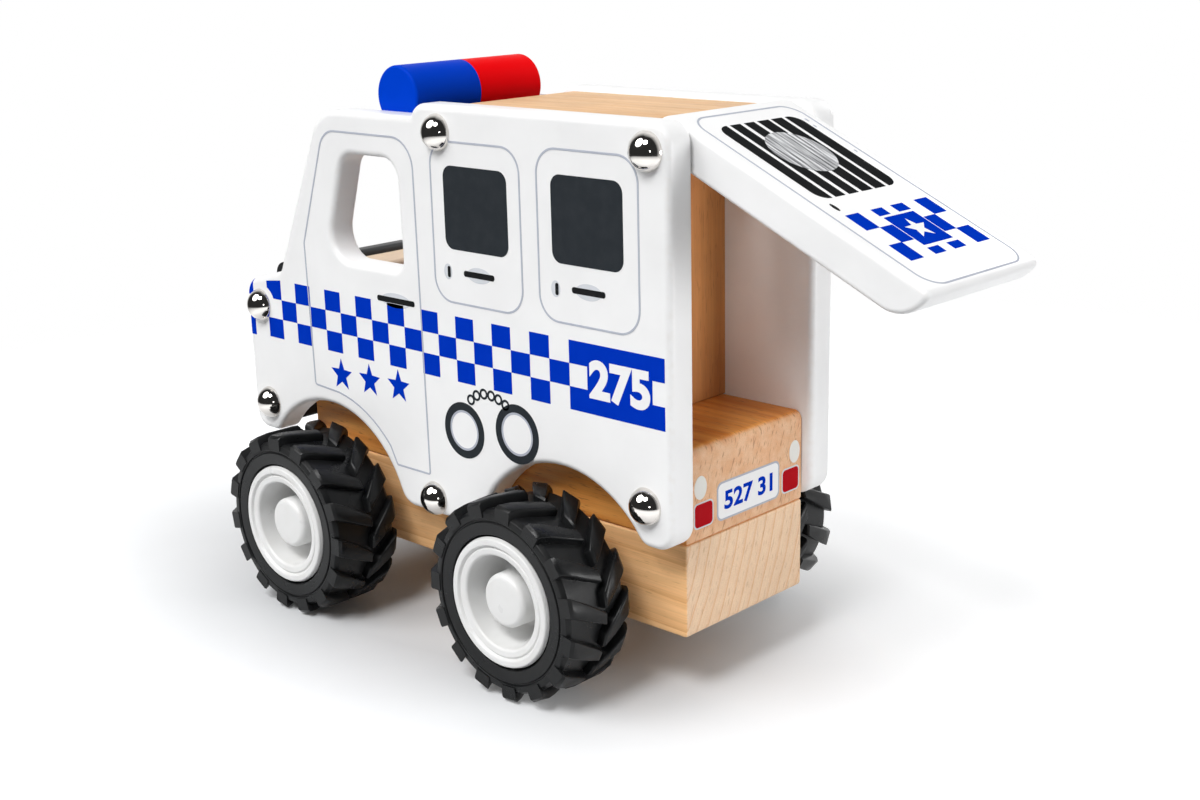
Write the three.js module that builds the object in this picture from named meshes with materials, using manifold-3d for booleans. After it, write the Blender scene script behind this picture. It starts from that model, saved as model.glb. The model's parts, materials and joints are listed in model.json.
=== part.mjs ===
// Toy police van in painted wood and beech, with lugged rubber wheels and a lifting tailgate.
// Bench frame in millimetres: x from the nose to the tail, y to the van's right, z up from the floor.
// At the end the whole van is moved so that the origin is the middle of its box at floor level.
import * as THREE from "three";
import { mergeVertices } from "three/addons/utils/BufferGeometryUtils.js";
import Module from "manifold-3d";

const wasm = await Module();
wasm.setup();

// Side panels
const panelLength = 194.2;
const panelThickness = 10;
const panelEdgeRound = 2;
const boxRoofHeight = 167.8;
const roofStepDrop = 4.1;
const cabRoofHeight = boxRoofHeight - roofStepDrop;
const roofStepStart = 91;
const roofStepRadius = 6;
const rearTopRadius = 6;
const rearFootHeight = 48.9;
const rearFootRadius = 6.5;
const rearFootFillet = 5;
const sillHeight = 38.4;
const sillFillet = 7;
const noseFootHeight = 50.4;
const noseFootRadius = 6;
const noseFootFillet = 4;
const noseTopHeight = 102.6;
const noseTopRadius = 9;
const bonnetEndX = 19.8;
const bonnetEndHeight = 107.9;
const bonnetFillet = 3;
const pillarTopX = 46.1;
const pillarTopRadius = 15;

// Cab window, cut right through both panels
const windowSill = 115.6;
const windowHeadDrop = 13.5;
const windowHead = cabRoofHeight - windowHeadDrop;
const windowFrontLow = 46.4;
const windowFrontHigh = 57.3;
const windowRearLow = 84.3;
const windowRearHigh = 83.6;
const windowFrontLowRadius = 9;
const windowRearLowRadius = 4;
const windowHeadRadius = 7;

// Wheel arches
const archRadius = 37.7;
const archCentreHeight = 28.2;
const archOutset = 2.7;

// Wood between the panels
const clearWidth = 54;
const woodEdgeRound = 1.2;
const beamFront = 21.5;
const beamTailInset = 3.4;
const beamRear = panelLength - beamTailInset;
const beamBottom = 19.6;
const beamTop = 47.9;
const floorTop = 75.9;
const floorRearRound = 5;
const blockCornerRound = 1.6;
const bayDepth = 33.2;
const bulkheadRear = panelLength - bayDepth;
const bulkheadThickness = 10;
const roofBoardFront = 97.3;
const roofBoardTailInset = 18.2;
const roofBoardRear = panelLength - roofBoardTailInset;
const roofBoardDrop = 1.4;
const roofBoardTop = boxRoofHeight - roofBoardDrop;
const roofBoardThickness = 12;
const roofBoardRound = 3.5;
const grilleFront = 4;
const grilleThickness = 9;
const grilleBottom = 52.6;
const grilleTop = 108.2;
const grilleTopRound = 4.5;
const grilleSlotCount = 5;
const grilleSlotPitch = 6;
const grilleSlotHeight = 2.6;
const grilleSlotLength = 20;
const grilleSlotLowest = 70;
const grilleCutDepth = 1.5;
const headlampRadius = 6;
const headlampSpread = 18;
const headlampHeight = 82;
const bonnetBoardLength = 14.5;
const bonnetBoardTop = 105.9;
const bonnetBoardThickness = 12;

// Light bar
const lightBarX = 74.3;
const lightBarLift = 4.3;
const lightBarHeight = cabRoofHeight + lightBarLift;
const lightBarRadius = 9.5;
const lightBarEndRound = 1;

// Tailgate, drawn from its hinge pin along the board; closed, it sits just inside the panels' rear edges
const hingeInset = 7.8;
const hingeDrop = 7.8;
const hingeX = panelLength - hingeInset;
const hingeHeight = boxRoofHeight - hingeDrop;
const tailgateInset = 0.6;
const tailgateFootHeight = 73.8;
const tailgateReach = hingeHeight - tailgateFootHeight;
const tailgateHeel = 8;
const tailgateThickness = 11;
const tailgateSideGap = 0.5;
const tailgateEdgeRound = 1.2;
const tailgateEndSlope = 3.7;
const tailgateOuterEndRound = 1.8;
const tailgateInnerEndRound = 8;
const tailgateDroop = 24.8;

// Wheels, each drawn about its own axle with the outer side towards -y
const frontAxleX = 45.2;
const rearOverhang = 45.9;
const rearAxleX = panelLength - rearOverhang;
const axleHeight = 30;
const axleRadius = 2;
const axleEndInCap = 5.5;
const wheelMidPlane = 48.5;
const tyreRadius = 30;
const tyreWidth = 25;
const treadRadius = 27;
const sidewallStep = 24.2;
const shoulderInset = 0.6;
const rimRadius = 19.8;
const rimSeatRadius = 18;
const rimRecessRadius = 13;
const rimRecessFloor = -2.5;
const rimLip = -12.8;
const beadGap = 0.2;
const bossRadius = 6;
const bossGap = 0.6;
const capRadius = 8.1;
const capFace = -11;
const lugsPerSide = 15;
const lugWidth = 5.4;
const lugTipWidth = 3.6;
const lugOverlap = 1.5;
const lugSweep = 7;
const lugEndInset = 0.1;
const lugRoot = 25;

// Dome-head screws
const domeRadius = 5.35;
const domeHeight = 4.35;
const shankRadius = 2;
const shankBite = 9;
const screwSites = {
  nose_upper: [7.8, noseTopHeight - 7.7],
  nose_lower: [9.2, noseFootHeight + 10],
  roof: [roofStepStart + 12.6, boxRoofHeight - 8],
  hinge: [hingeX, hingeHeight],
  sill: [(frontAxleX + rearAxleX) / 2 - 2.15, sillHeight + 5.4],
  tail: [panelLength - 9.8, rearFootHeight + 12.3],
};

// Fits
const pressGap = 0.02;
const runningGap = 0.08;

// Fineness of curves
const chordError = 0.12;
const shankSides = 8;
const boreSides = 16;
const domeSides = 12;
const rimSides = 20;
const tyreSides = 30;
const barSides = 28;

// Materials
const paint = (color, roughness, metalness = 0) =>
  new THREE.MeshStandardMaterial({ color, roughness, metalness });
const whitePaint = paint(0xf2f2f0, 0.38);
const blackPaint = paint(0x2a2b2c, 0.45);
const beech = paint(0xd8a66c, 0.55);
const paleBeech = paint(0xe0ba86, 0.6);
const bluePaint = paint(0x0a45d2, 0.25);
const redPaint = paint(0xe3101a, 0.25);
const chrome = paint(0xd9d6d2, 0.08, 1);
const steel = paint(0xb4b6b8, 0.3, 1);
const rubber = paint(0x262728, 0.72);
const whitePlastic = paint(0xeeeeea, 0.35);

const half = (value) => value / 2;
const radians = THREE.MathUtils.degToRad;

// A three.js geometry as a solid that can be joined and cut.
function solidOf(geometry) {
  const bare = geometry.clone();
  bare.deleteAttribute("normal");
  bare.deleteAttribute("uv");
  const merged = mergeVertices(bare, 1e-4);
  const index = merged.index.array;
  const triVerts = [];
  for (let i = 0; i < index.length; i += 3) {
    const [a, b, c] = [index[i], index[i + 1], index[i + 2]];
    if (a !== b && b !== c && c !== a) triVerts.push(a, b, c);
  }
  return new wasm.Manifold(
    new wasm.Mesh({
      numProp: 3,
      vertProperties: merged.attributes.position.array,
      triVerts: new Uint32Array(triVerts),
    }),
  );
}

// The faceted surface of a solid, ready for a mesh.
function geometryOf(solid) {
  const { vertProperties, triVerts } = solid.getMesh();
  const geometry = new THREE.BufferGeometry();
  geometry.setAttribute("position", new THREE.BufferAttribute(vertProperties, 3));
  geometry.setIndex(new THREE.BufferAttribute(triVerts, 1));
  const flat = geometry.toNonIndexed();
  flat.computeVertexNormals();
  return flat;
}

// Adds a line to a corner and an arc round it.
function roundCorner(path, before, at, after, radius) {
  const into = new THREE.Vector2().subVectors(at, before).normalize();
  const out = new THREE.Vector2().subVectors(after, at).normalize();
  const turn = Math.atan2(into.cross(out), into.dot(out));
  const reach = radius * Math.tan(Math.abs(turn) / 2);
  const start = at.clone().addScaledVector(into, -reach);
  const side = new THREE.Vector2(-into.y, into.x).multiplyScalar(Math.sign(turn) * radius);
  const centre = start.clone().add(side);
  const from = Math.atan2(start.y - centre.y, start.x - centre.x);
  path.absarc(centre.x, centre.y, radius, from, from + turn, turn < 0);
}

// Points along one curve, with arcs stepped finely enough for the chord error.
function steppedPoints(curve) {
  if (curve.isLineCurve) return curve.getPoints(1);
  const step = Math.sqrt(8 * chordError * curve.xRadius);
  return curve.getPoints(Math.max(2, Math.ceil(curve.getLength() / step)));
}

// Points along a closed path, each listed once.
function pointsAlong(path) {
  const points = path.curves.flatMap((curve) => steppedPoints(curve).slice(0, -1));
  return points.filter((p, i) => p.distanceTo(points[(i + 1) % points.length]) > 1e-3);
}

// A closed outline from corners [x, z, radius], where a radius of 0 leaves the corner sharp.
function roundedOutline(corners) {
  const at = corners.map(([x, z]) => new THREE.Vector2(x, z));
  return corners.flatMap(([, , radius], i) => {
    if (radius === 0) return [at[i]];
    const arc = new THREE.Path();
    roundCorner(arc, at.at(i - 1), at[i], at[(i + 1) % at.length], radius);
    return steppedPoints(arc.curves[0]);
  });
}

// A board with an outline in the x-z plane, standing across y with its edges rounded over.
function board(outline, thickness, edgeRound, holes = []) {
  const shape = new THREE.Shape(outline);
  shape.holes = holes.map((points) => new THREE.Path(points));
  const geometry = new THREE.ExtrudeGeometry(shape, {
    depth: thickness - 2 * edgeRound,
    bevelEnabled: edgeRound > 0,
    bevelThickness: edgeRound,
    bevelSize: edgeRound,
    bevelOffset: -edgeRound,
    bevelSegments: 2,
  });
  geometry.translate(0, 0, edgeRound - half(thickness));
  return solidOf(geometry.rotateX(half(Math.PI)));
}

// A rod along y between two y values, through a point in the x-z plane.
function rod(x, z, radius, from, to, sides) {
  const geometry = new THREE.CylinderGeometry(radius, radius, Math.abs(to - from), sides);
  return solidOf(geometry.translate(x, half(from + to), z));
}

// A turned piece about the y axis, from a profile of [radius, y] points.
function turned(profile, sides) {
  const points = profile.map(([radius, y]) => new THREE.Vector2(radius, y));
  return solidOf(new THREE.LatheGeometry(points, sides));
}

const van = new THREE.Group();
van.name = "toy_police_van";

function addPiece(name, solid, material, parent = van) {
  const mesh = new THREE.Mesh(geometryOf(solid), material);
  mesh.name = name;
  parent.add(mesh);
  return mesh;
}

const innerFace = half(clearWidth);
const outerFace = innerFace + panelThickness;
const frontArchX = frontAxleX - archOutset;
const rearArchX = rearAxleX + archOutset;

// The round foot between an arch and a level edge: its centre, and the arch angle where they meet.
function archFoot(archX, edgeHeight, fillet, direction) {
  const rise = edgeHeight + fillet - archCentreHeight;
  const run = Math.sqrt((archRadius + fillet) ** 2 - rise ** 2);
  return {
    x: archX + direction * run,
    z: edgeHeight + fillet,
    angle: Math.atan2(rise, direction * run),
  };
}

// Outline of a side panel, from the nose along the bottom to the tail and back over the roof.
function panelOutline() {
  const path = new THREE.Path();
  const vector = (x, z) => new THREE.Vector2(x, z);
  const down = 1.5 * Math.PI;

  const noseFoot = archFoot(frontArchX, noseFootHeight, noseFootFillet, -1);
  const sillFront = archFoot(frontArchX, sillHeight, sillFillet, 1);
  const sillRear = archFoot(rearArchX, sillHeight, sillFillet, -1);
  const tailFoot = archFoot(rearArchX, rearFootHeight, rearFootFillet, 1);

  path.absarc(noseFootRadius, noseFootHeight + noseFootRadius, noseFootRadius, Math.PI, down, false);
  path.absarc(noseFoot.x, noseFoot.z, noseFootFillet, down, noseFoot.angle + Math.PI, false);
  path.absarc(frontArchX, archCentreHeight, archRadius, noseFoot.angle, sillFront.angle, true);
  path.absarc(sillFront.x, sillFront.z, sillFillet, sillFront.angle + Math.PI, down, false);
  path.absarc(sillRear.x, sillRear.z, sillFillet, down, sillRear.angle + Math.PI, false);
  path.absarc(rearArchX, archCentreHeight, archRadius, sillRear.angle, tailFoot.angle, true);
  path.absarc(tailFoot.x, tailFoot.z, rearFootFillet, tailFoot.angle + Math.PI, down, false);

  const tailLow = vector(panelLength, rearFootHeight);
  const tailHigh = vector(panelLength, boxRoofHeight);
  const stepHigh = vector(roofStepStart, boxRoofHeight);
  const stepLow = vector(roofStepStart, cabRoofHeight);
  const pillarHigh = vector(pillarTopX, cabRoofHeight);
  const pillarLow = vector(bonnetEndX, bonnetEndHeight);
  const noseHigh = vector(0, noseTopHeight);
  roundCorner(path, vector(tailFoot.x, rearFootHeight), tailLow, tailHigh, rearFootRadius);
  roundCorner(path, tailLow, tailHigh, stepHigh, rearTopRadius);

  const stepDrop = roofStepRadius - (boxRoofHeight - cabRoofHeight);
  const stepAngle = Math.PI - Math.asin(stepDrop / roofStepRadius);
  const stepX = roofStepStart + roofStepRadius;
  path.absarc(stepX, boxRoofHeight - roofStepRadius, roofStepRadius, half(Math.PI), stepAngle, false);

  roundCorner(path, stepLow, pillarHigh, pillarLow, pillarTopRadius);
  roundCorner(path, pillarHigh, pillarLow, noseHigh, bonnetFillet);
  roundCorner(path, pillarLow, noseHigh, vector(0, noseFootHeight), noseTopRadius);
  path.closePath();
  return pointsAlong(path);
}

const windowOutline = roundedOutline([
  [windowFrontLow, windowSill, windowFrontLowRadius],
  [windowRearLow, windowSill, windowRearLowRadius],
  [windowRearHigh, windowHead, windowHeadRadius],
  [windowFrontHigh, windowHead, windowHeadRadius],
]);

// Side panels, with a hole for each screw
for (const [side, sign] of [["left", -1], ["right", 1]]) {
  let panel = board(panelOutline(), panelThickness, panelEdgeRound, [windowOutline]);
  const middle = sign * (innerFace + half(panelThickness));
  for (const [x, z] of Object.values(screwSites)) {
    const hole = rod(x, z, shankRadius + pressGap, -panelThickness, panelThickness, shankSides);
    panel = panel.subtract(hole);
  }
  addPiece(side + "_side_panel", panel, whitePaint).position.y = middle;
}

// Blind holes that a screw's shank enters, in from both sides.
function drillBothSides(solid, site, gap, sides) {
  const [x, z] = screwSites[site];
  const depth = shankBite + 0.5;
  let drilled = solid;
  for (const sign of [-1, 1]) {
    const from = sign * (innerFace + 1);
    const to = sign * (innerFace - depth);
    drilled = drilled.subtract(rod(x, z, shankRadius + gap, from, to, sides));
  }
  return drilled;
}

// Chassis beam with the two axle bores
let beam = board(
  roundedOutline([
    [beamFront, beamBottom, blockCornerRound],
    [beamRear, beamBottom, blockCornerRound],
    [beamRear, beamTop, 0],
    [beamFront, beamTop, 0],
  ]),
  clearWidth,
  woodEdgeRound,
);
for (const x of [frontAxleX, rearAxleX]) {
  beam = beam.subtract(rod(x, axleHeight, axleRadius + runningGap, -outerFace, outerFace, boreSides));
}
beam = drillBothSides(beam, "sill", pressGap, shankSides);
addPiece("chassis_beam", beam, paleBeech);

// Floor block on the beam
const floorBlock = board(
  roundedOutline([
    [beamFront, beamTop, 0],
    [beamRear, beamTop, 0],
    [beamRear, floorTop, floorRearRound],
    [beamFront, floorTop, blockCornerRound],
  ]),
  clearWidth,
  woodEdgeRound,
);
addPiece("floor_block", drillBothSides(floorBlock, "tail", pressGap, shankSides), beech);

// Roof board
const roofBoardBottom = roofBoardTop - roofBoardThickness;
const roofBoard = board(
  roundedOutline([
    [roofBoardFront, roofBoardBottom, blockCornerRound],
    [roofBoardRear, roofBoardBottom, blockCornerRound],
    [roofBoardRear, roofBoardTop, roofBoardRound],
    [roofBoardFront, roofBoardTop, blockCornerRound],
  ]),
  clearWidth,
  0,
);
addPiece("roof_board", drillBothSides(roofBoard, "roof", pressGap, shankSides), beech);

// Bulkhead between floor block and roof board
const bulkheadFront = bulkheadRear - bulkheadThickness;
const bulkhead = board(
  roundedOutline([
    [bulkheadFront, floorTop, 0],
    [bulkheadRear, floorTop, 0],
    [bulkheadRear, roofBoardBottom, 0],
    [bulkheadFront, roofBoardBottom, 0],
  ]),
  clearWidth,
  0,
);
addPiece("bulkhead", bulkhead, beech);

// Grille board across the nose, with louvres and two lamp recesses in its front face
const grilleRear = grilleFront + grilleThickness;
let grille = board(
  roundedOutline([
    [grilleFront, grilleBottom, blockCornerRound],
    [grilleRear, grilleBottom, blockCornerRound],
    [grilleRear, grilleTop, blockCornerRound],
    [grilleFront, grilleTop, grilleTopRound],
  ]),
  clearWidth,
  0,
);
for (let i = 0; i < grilleSlotCount; i += 1) {
  const slot = new THREE.BoxGeometry(2 * grilleCutDepth, grilleSlotLength, grilleSlotHeight);
  slot.translate(grilleFront, 0, grilleSlotLowest + i * grilleSlotPitch);
  grille = grille.subtract(solidOf(slot));
}
for (const sign of [-1, 1]) {
  const lamp = new THREE.CylinderGeometry(headlampRadius, headlampRadius, 2 * grilleCutDepth, boreSides);
  lamp.rotateZ(half(Math.PI)).translate(grilleFront, sign * headlampSpread, headlampHeight);
  grille = grille.subtract(solidOf(lamp));
}
grille = drillBothSides(grille, "nose_upper", pressGap, shankSides);
addPiece("grille_board", drillBothSides(grille, "nose_lower", pressGap, shankSides), blackPaint);

// Bonnet board behind it
const bonnetRear = grilleRear + bonnetBoardLength;
const bonnetBottom = bonnetBoardTop - bonnetBoardThickness;
const bonnet = board(
  roundedOutline([
    [grilleRear, bonnetBottom, 0],
    [bonnetRear, bonnetBottom, blockCornerRound],
    [bonnetRear, bonnetBoardTop, blockCornerRound],
    [grilleRear, bonnetBoardTop, 0],
  ]),
  clearWidth,
  0,
);
addPiece("bonnet_board", bonnet, paleBeech);

// Light bar, a dowel in two colours glued between the panels
const barProfile = [
  [0, 0],
  [lightBarRadius, 0],
  [lightBarRadius, innerFace - lightBarEndRound],
  [lightBarRadius - lightBarEndRound, innerFace],
  [0, innerFace],
];
const barHalf = turned(barProfile, barSides);
addPiece("light_bar_red", barHalf, redPaint).position.set(lightBarX, 0, lightBarHeight);
const blueHalf = addPiece("light_bar_blue", barHalf, bluePaint);
blueHalf.position.set(lightBarX, 0, lightBarHeight);
blueHalf.rotation.z = Math.PI;

// Tailgate, drawn with the hinge pin at the origin, the board along +x and its outer face up
const gateOuter = panelLength - tailgateInset - hingeX;
const gateInner = gateOuter - tailgateThickness;
const gateHeelRadius = half(tailgateThickness);
const gateHeelX = gateHeelRadius - tailgateHeel;
const gateInnerStart = new THREE.Vector2(gateHeelX, gateInner);
const gateInnerEnd = new THREE.Vector2(tailgateReach - tailgateEndSlope, gateInner);
const gateOuterEnd = new THREE.Vector2(tailgateReach, gateOuter);
const gateOuterStart = new THREE.Vector2(gateHeelX, gateOuter);
const gatePath = new THREE.Path();
gatePath.absarc(gateHeelX, half(gateOuter + gateInner), gateHeelRadius, half(Math.PI), 1.5 * Math.PI, false);
roundCorner(gatePath, gateInnerStart, gateInnerEnd, gateOuterEnd, tailgateInnerEndRound);
roundCorner(gatePath, gateInnerEnd, gateOuterEnd, gateOuterStart, tailgateOuterEndRound);
gatePath.closePath();
const gateOutline = pointsAlong(gatePath);
const gateWidth = clearWidth - 2 * tailgateSideGap;
let tailgate = board(gateOutline, gateWidth, tailgateEdgeRound);
for (const sign of [-1, 1]) {
  const from = sign * (innerFace + 1);
  const to = sign * (innerFace - shankBite - 0.5);
  tailgate = tailgate.subtract(rod(0, 0, shankRadius + runningGap, from, to, boreSides));
}
const gate = addPiece("tailgate", tailgate, whitePaint);
gate.position.set(hingeX, 0, hingeHeight);
gate.rotation.y = radians(tailgateDroop);

// Dome-head screws, drawn with the head above y = 0 and the shank below
const domeSphere = (domeRadius ** 2 + domeHeight ** 2) / (2 * domeHeight);
const domeSweep = Math.asin(domeRadius / domeSphere);
const domeSteps = 3;
const headProfile = [[0, 0], [domeRadius, 0]];
for (let i = 1; i <= domeSteps; i += 1) {
  const angle = domeSweep * (1 - i / domeSteps);
  const drop = domeSphere * (1 - Math.cos(angle));
  headProfile.push([domeSphere * Math.sin(angle), domeHeight - drop]);
}
const head = turned(headProfile, domeSides);
const shank = rod(0, 0, shankRadius, -panelThickness - shankBite, half(domeHeight), shankSides);
const screw = head.add(shank);

for (const [site, [x, z]] of Object.entries(screwSites)) {
  for (const [side, turn] of [["left", Math.PI], ["right", 0]]) {
    const mesh = addPiece("screw_" + side + "_" + site, screw, chrome);
    mesh.position.set(x, side === "left" ? -outerFace : outerFace, z);
    mesh.rotation.z = turn;
  }
}

// Rim: lipped outer ring, deep recess, tyre seat and a boss towards the chassis beam
const boreRadius = axleRadius + pressGap;
const bossEnd = wheelMidPlane - innerFace - bossGap;
const tyreSide = half(tyreWidth);
const rimProfile = [
  [boreRadius, rimRecessFloor],
  [rimRecessRadius, rimRecessFloor],
  [rimRecessRadius + 1.2, rimLip + 0.6],
  [rimRadius - 3.6, rimLip + 0.6],
  [rimRadius - 3, rimLip + 1.2],
  [rimRadius - 2.4, rimLip],
  [rimRadius - 0.6, rimLip],
  [rimRadius, rimLip + 1.6],
  [rimSeatRadius, rimLip + 2.6],
  [rimSeatRadius, tyreSide - 2],
  [rimSeatRadius + 1, tyreSide - 0.5],
  [rimSeatRadius - 2.5, tyreSide - 0.5],
  [rimRecessRadius + 0.5, 2],
  [bossRadius, 2],
  [bossRadius, bossEnd],
  [boreRadius, bossEnd],
  [boreRadius, rimRecessFloor],
];

// Tyre carcass between the rim's flanges
const carcassProfile = [
  [rimSeatRadius + beadGap, rimLip + 2.6 + beadGap],
  [rimRadius + beadGap, rimLip + 1.6 + beadGap],
  [rimRadius + beadGap, 0.6 - tyreSide],
  [sidewallStep, -tyreSide],
  [sidewallStep + 0.4, 0.6 - tyreSide],
  [treadRadius, shoulderInset - tyreSide],
  [treadRadius, tyreSide - shoulderInset],
  [rimSeatRadius + 1 + beadGap, tyreSide - 0.4],
  [rimSeatRadius + beadGap, tyreSide - 2 - beadGap],
  [rimSeatRadius + beadGap, rimLip + 2.6 + beadGap],
];

// One tread lug, wrapped round the carcass at an angle; it runs from one shoulder past the middle.
function lug(shoulderSign, angle) {
  const shoulder = shoulderInset + lugEndInset - tyreSide;
  const plan = [
    [-half(lugWidth), shoulder],
    [half(lugWidth), shoulder],
    [lugSweep + half(lugTipWidth), lugOverlap],
    [lugSweep - half(lugTipWidth), lugOverlap],
  ].map(([along, across]) => new THREE.Vector2(along, -shoulderSign * across));
  const height = tyreRadius - lugRoot;
  const options = { depth: height, bevelEnabled: false };
  const geometry = new THREE.ExtrudeGeometry(new THREE.Shape(plan), options);
  const at = geometry.attributes.position;
  for (let i = 0; i < at.count; i += 1) {
    const radius = lugRoot + at.getZ(i);
    const turn = angle - at.getX(i) / tyreRadius;
    at.setXYZ(i, radius * Math.cos(turn), at.getY(i), radius * Math.sin(turn));
  }
  return solidOf(geometry);
}

let tyre = turned(carcassProfile, tyreSides);
const lugPitch = (2 * Math.PI) / lugsPerSide;
for (let i = 0; i < lugsPerSide; i += 1) {
  tyre = tyre.add(lug(-1, i * lugPitch)).add(lug(1, (i + 0.5) * lugPitch));
}

const rim = turned(rimProfile, rimSides);

const axleHoleEnd = rimRecessFloor - axleEndInCap - 0.2;
const hubCap = turned(
  [
    [0, capFace],
    [capRadius - 1.4, capFace + 0.3],
    [capRadius, capFace + 1.6],
    [capRadius, rimRecessFloor],
    [boreRadius, rimRecessFloor],
    [boreRadius, axleHoleEnd],
    [0, axleHoleEnd],
  ],
  rimSides,
);

const axleHalfLength = wheelMidPlane - rimRecessFloor + axleEndInCap;
for (const [end, x] of [["front", frontAxleX], ["rear", rearAxleX]]) {
  const axle = rod(0, 0, axleRadius, -axleHalfLength, axleHalfLength, rimSides);
  addPiece(end + "_axle", axle, steel).position.set(x, 0, axleHeight);
  for (const [side, sign] of [["left", -1], ["right", 1]]) {
    const wheel = new THREE.Group();
    wheel.position.set(x, sign * wheelMidPlane, axleHeight);
    wheel.rotation.z = side === "left" ? 0 : Math.PI;
    van.add(wheel);
    addPiece("tyre_" + end + "_" + side, tyre, rubber, wheel);
    addPiece("rim_" + end + "_" + side, rim, whitePlastic, wheel);
    addPiece("hub_cap_" + end + "_" + side, hubCap, whitePlastic, wheel);
  }
}

// Origin at the middle of the van's box, on the floor
const box = new THREE.Box3().setFromObject(van, true);
van.position.set(-half(box.min.x + box.max.x), 0, -box.min.z);

const part = new THREE.Group();
part.name = "toy_police_van_part";
part.add(van);

export default part;
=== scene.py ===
"""Dresses the toy police van: painted boards, beech blocks, chrome screws, lugged tyres and prints."""
import json
import math

import bmesh
import bpy
from mathutils import Color, Matrix, Vector
from mathutils.geometry import tessellate_polygon


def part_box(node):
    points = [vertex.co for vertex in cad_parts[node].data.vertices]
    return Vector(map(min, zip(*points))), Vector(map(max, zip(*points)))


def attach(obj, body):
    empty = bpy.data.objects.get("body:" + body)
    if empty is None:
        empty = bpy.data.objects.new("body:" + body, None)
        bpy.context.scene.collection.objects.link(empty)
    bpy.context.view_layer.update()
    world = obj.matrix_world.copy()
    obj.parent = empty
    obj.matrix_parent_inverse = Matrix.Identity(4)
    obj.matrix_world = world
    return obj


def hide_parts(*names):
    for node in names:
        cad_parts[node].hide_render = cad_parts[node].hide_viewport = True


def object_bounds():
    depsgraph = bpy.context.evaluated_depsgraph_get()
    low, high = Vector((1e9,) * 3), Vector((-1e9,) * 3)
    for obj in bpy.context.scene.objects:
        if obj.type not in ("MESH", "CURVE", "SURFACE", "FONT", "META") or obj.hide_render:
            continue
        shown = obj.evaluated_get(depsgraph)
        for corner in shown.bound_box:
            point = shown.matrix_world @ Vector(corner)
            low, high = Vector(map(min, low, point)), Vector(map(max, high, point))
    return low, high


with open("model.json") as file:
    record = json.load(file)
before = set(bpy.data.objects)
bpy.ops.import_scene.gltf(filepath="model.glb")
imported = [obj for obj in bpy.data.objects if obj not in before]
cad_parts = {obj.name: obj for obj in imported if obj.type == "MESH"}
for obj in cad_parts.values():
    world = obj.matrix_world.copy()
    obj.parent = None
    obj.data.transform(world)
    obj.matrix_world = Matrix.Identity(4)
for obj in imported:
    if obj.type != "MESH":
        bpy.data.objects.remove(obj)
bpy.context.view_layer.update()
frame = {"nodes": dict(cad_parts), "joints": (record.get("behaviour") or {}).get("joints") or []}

# Bench frame in millimetres: x from the nose to the tail, y to the van's right, z up from the floor
MM = 0.001
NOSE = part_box("left_side_panel")[0].x
JOINTS = {joint["name"]: joint for joint in frame["joints"]}
SIDES = {"left": -1, "right": 1}

# Angles in an outline
UPWARDS = math.pi / 2
DOWNWARDS = 1.5 * math.pi

# Side panel sizes
PANEL_LENGTH = 194.2
PANEL_INNER = 27.0
PANEL_OUTER = 37.0
PANEL_EDGE_ROUND = 2.0
BOX_ROOF = 167.8
CAB_ROOF = 163.7
ROOF_STEP_X = 91.0
ROOF_STEP_RADIUS = 6.0
TAIL_RADIUS = 6.0
TAIL_FOOT = 48.9
TAIL_FOOT_RADIUS = 6.5
TAIL_FOOT_FILLET = 5.0
SILL = 38.4
SILL_FILLET = 7.0
NOSE_FOOT = 50.4
NOSE_FOOT_RADIUS = 6.0
NOSE_FOOT_FILLET = 4.0
NOSE_TOP = (0.0, 102.6)
NOSE_TOP_RADIUS = 6.5
BONNET_END = (19.8, 107.9)
BONNET_FILLET = 3.0
PILLAR_TOP_X = 46.1
PILLAR_RADIUS = 15.0
ARCH_RADIUS = 37.7
ARCH_HEIGHT = 28.2
FRONT_ARCH_X = 42.5
REAR_ARCH_X = 151.0
CAB_WINDOW = [(46.4, 115.6, 9), (84.3, 115.6, 4), (83.6, 150.2, 7), (57.3, 150.2, 7)]

# Tailgate sizes, along the board from its hinge pin and out from the pin's middle
TAILGATE_OUTER = 7.2
TAILGATE_INNER = -3.8
TAILGATE_REACH = 86.2
TAILGATE_HEEL_X = -2.5
TAILGATE_HEEL_RADIUS = 5.5
TAILGATE_END_SLOPE = 3.7
TAILGATE_INNER_END_RADIUS = 11.0
TAILGATE_OUTER_END_RADIUS = 1.8
TAILGATE_HALF_WIDTH = 26.5
TAILGATE_EDGE_ROUND = 1.5

# Blocks: radii at low front, low rear, high rear and high front, and the radius of the long edges
BLOCK_ROUNDS = {
    "chassis_beam": ((1.6, 1.6, 1.0, 1.0), 0.8),
    "floor_block": ((1.0, 1.0, 2.8, 1.6), 0.8),
    "roof_board": ((1.2, 1.2, 3.5, 1.6), 0.5),
    "bulkhead": ((0.6, 0.6, 0.6, 0.6), 0.3),
    "bonnet_board": ((0.6, 1.6, 1.6, 0.6), 0.3),
    "grille_board": ((1.6, 1.6, 1.6, 4.5), 0.5),
}

# Slots and lamps of the grille board
GRILLE_CUT = 1.5
GRILLE_SLOTS = 5
GRILLE_SLOT_LOWEST = 70.0
GRILLE_SLOT_PITCH = 6.0
GRILLE_SLOT_LENGTH = 20.0
GRILLE_SLOT_HEIGHT = 2.6
GRILLE_SLOT_ROUND = 1.2
HEADLAMP_RADIUS = 6.0
HEADLAMP_SPREAD = 18.0
HEADLAMP_HEIGHT = 82.0
# Lens profile of (radius, depth behind the grille's front, corner radius)
HEADLAMP_LENS = [(0, 1.6, 0), (5.7, 1.6, 0.2), (5.7, 0.9, 0.4), (4.6, 0.3, 2), (0, 0.1, 0)]

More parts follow.
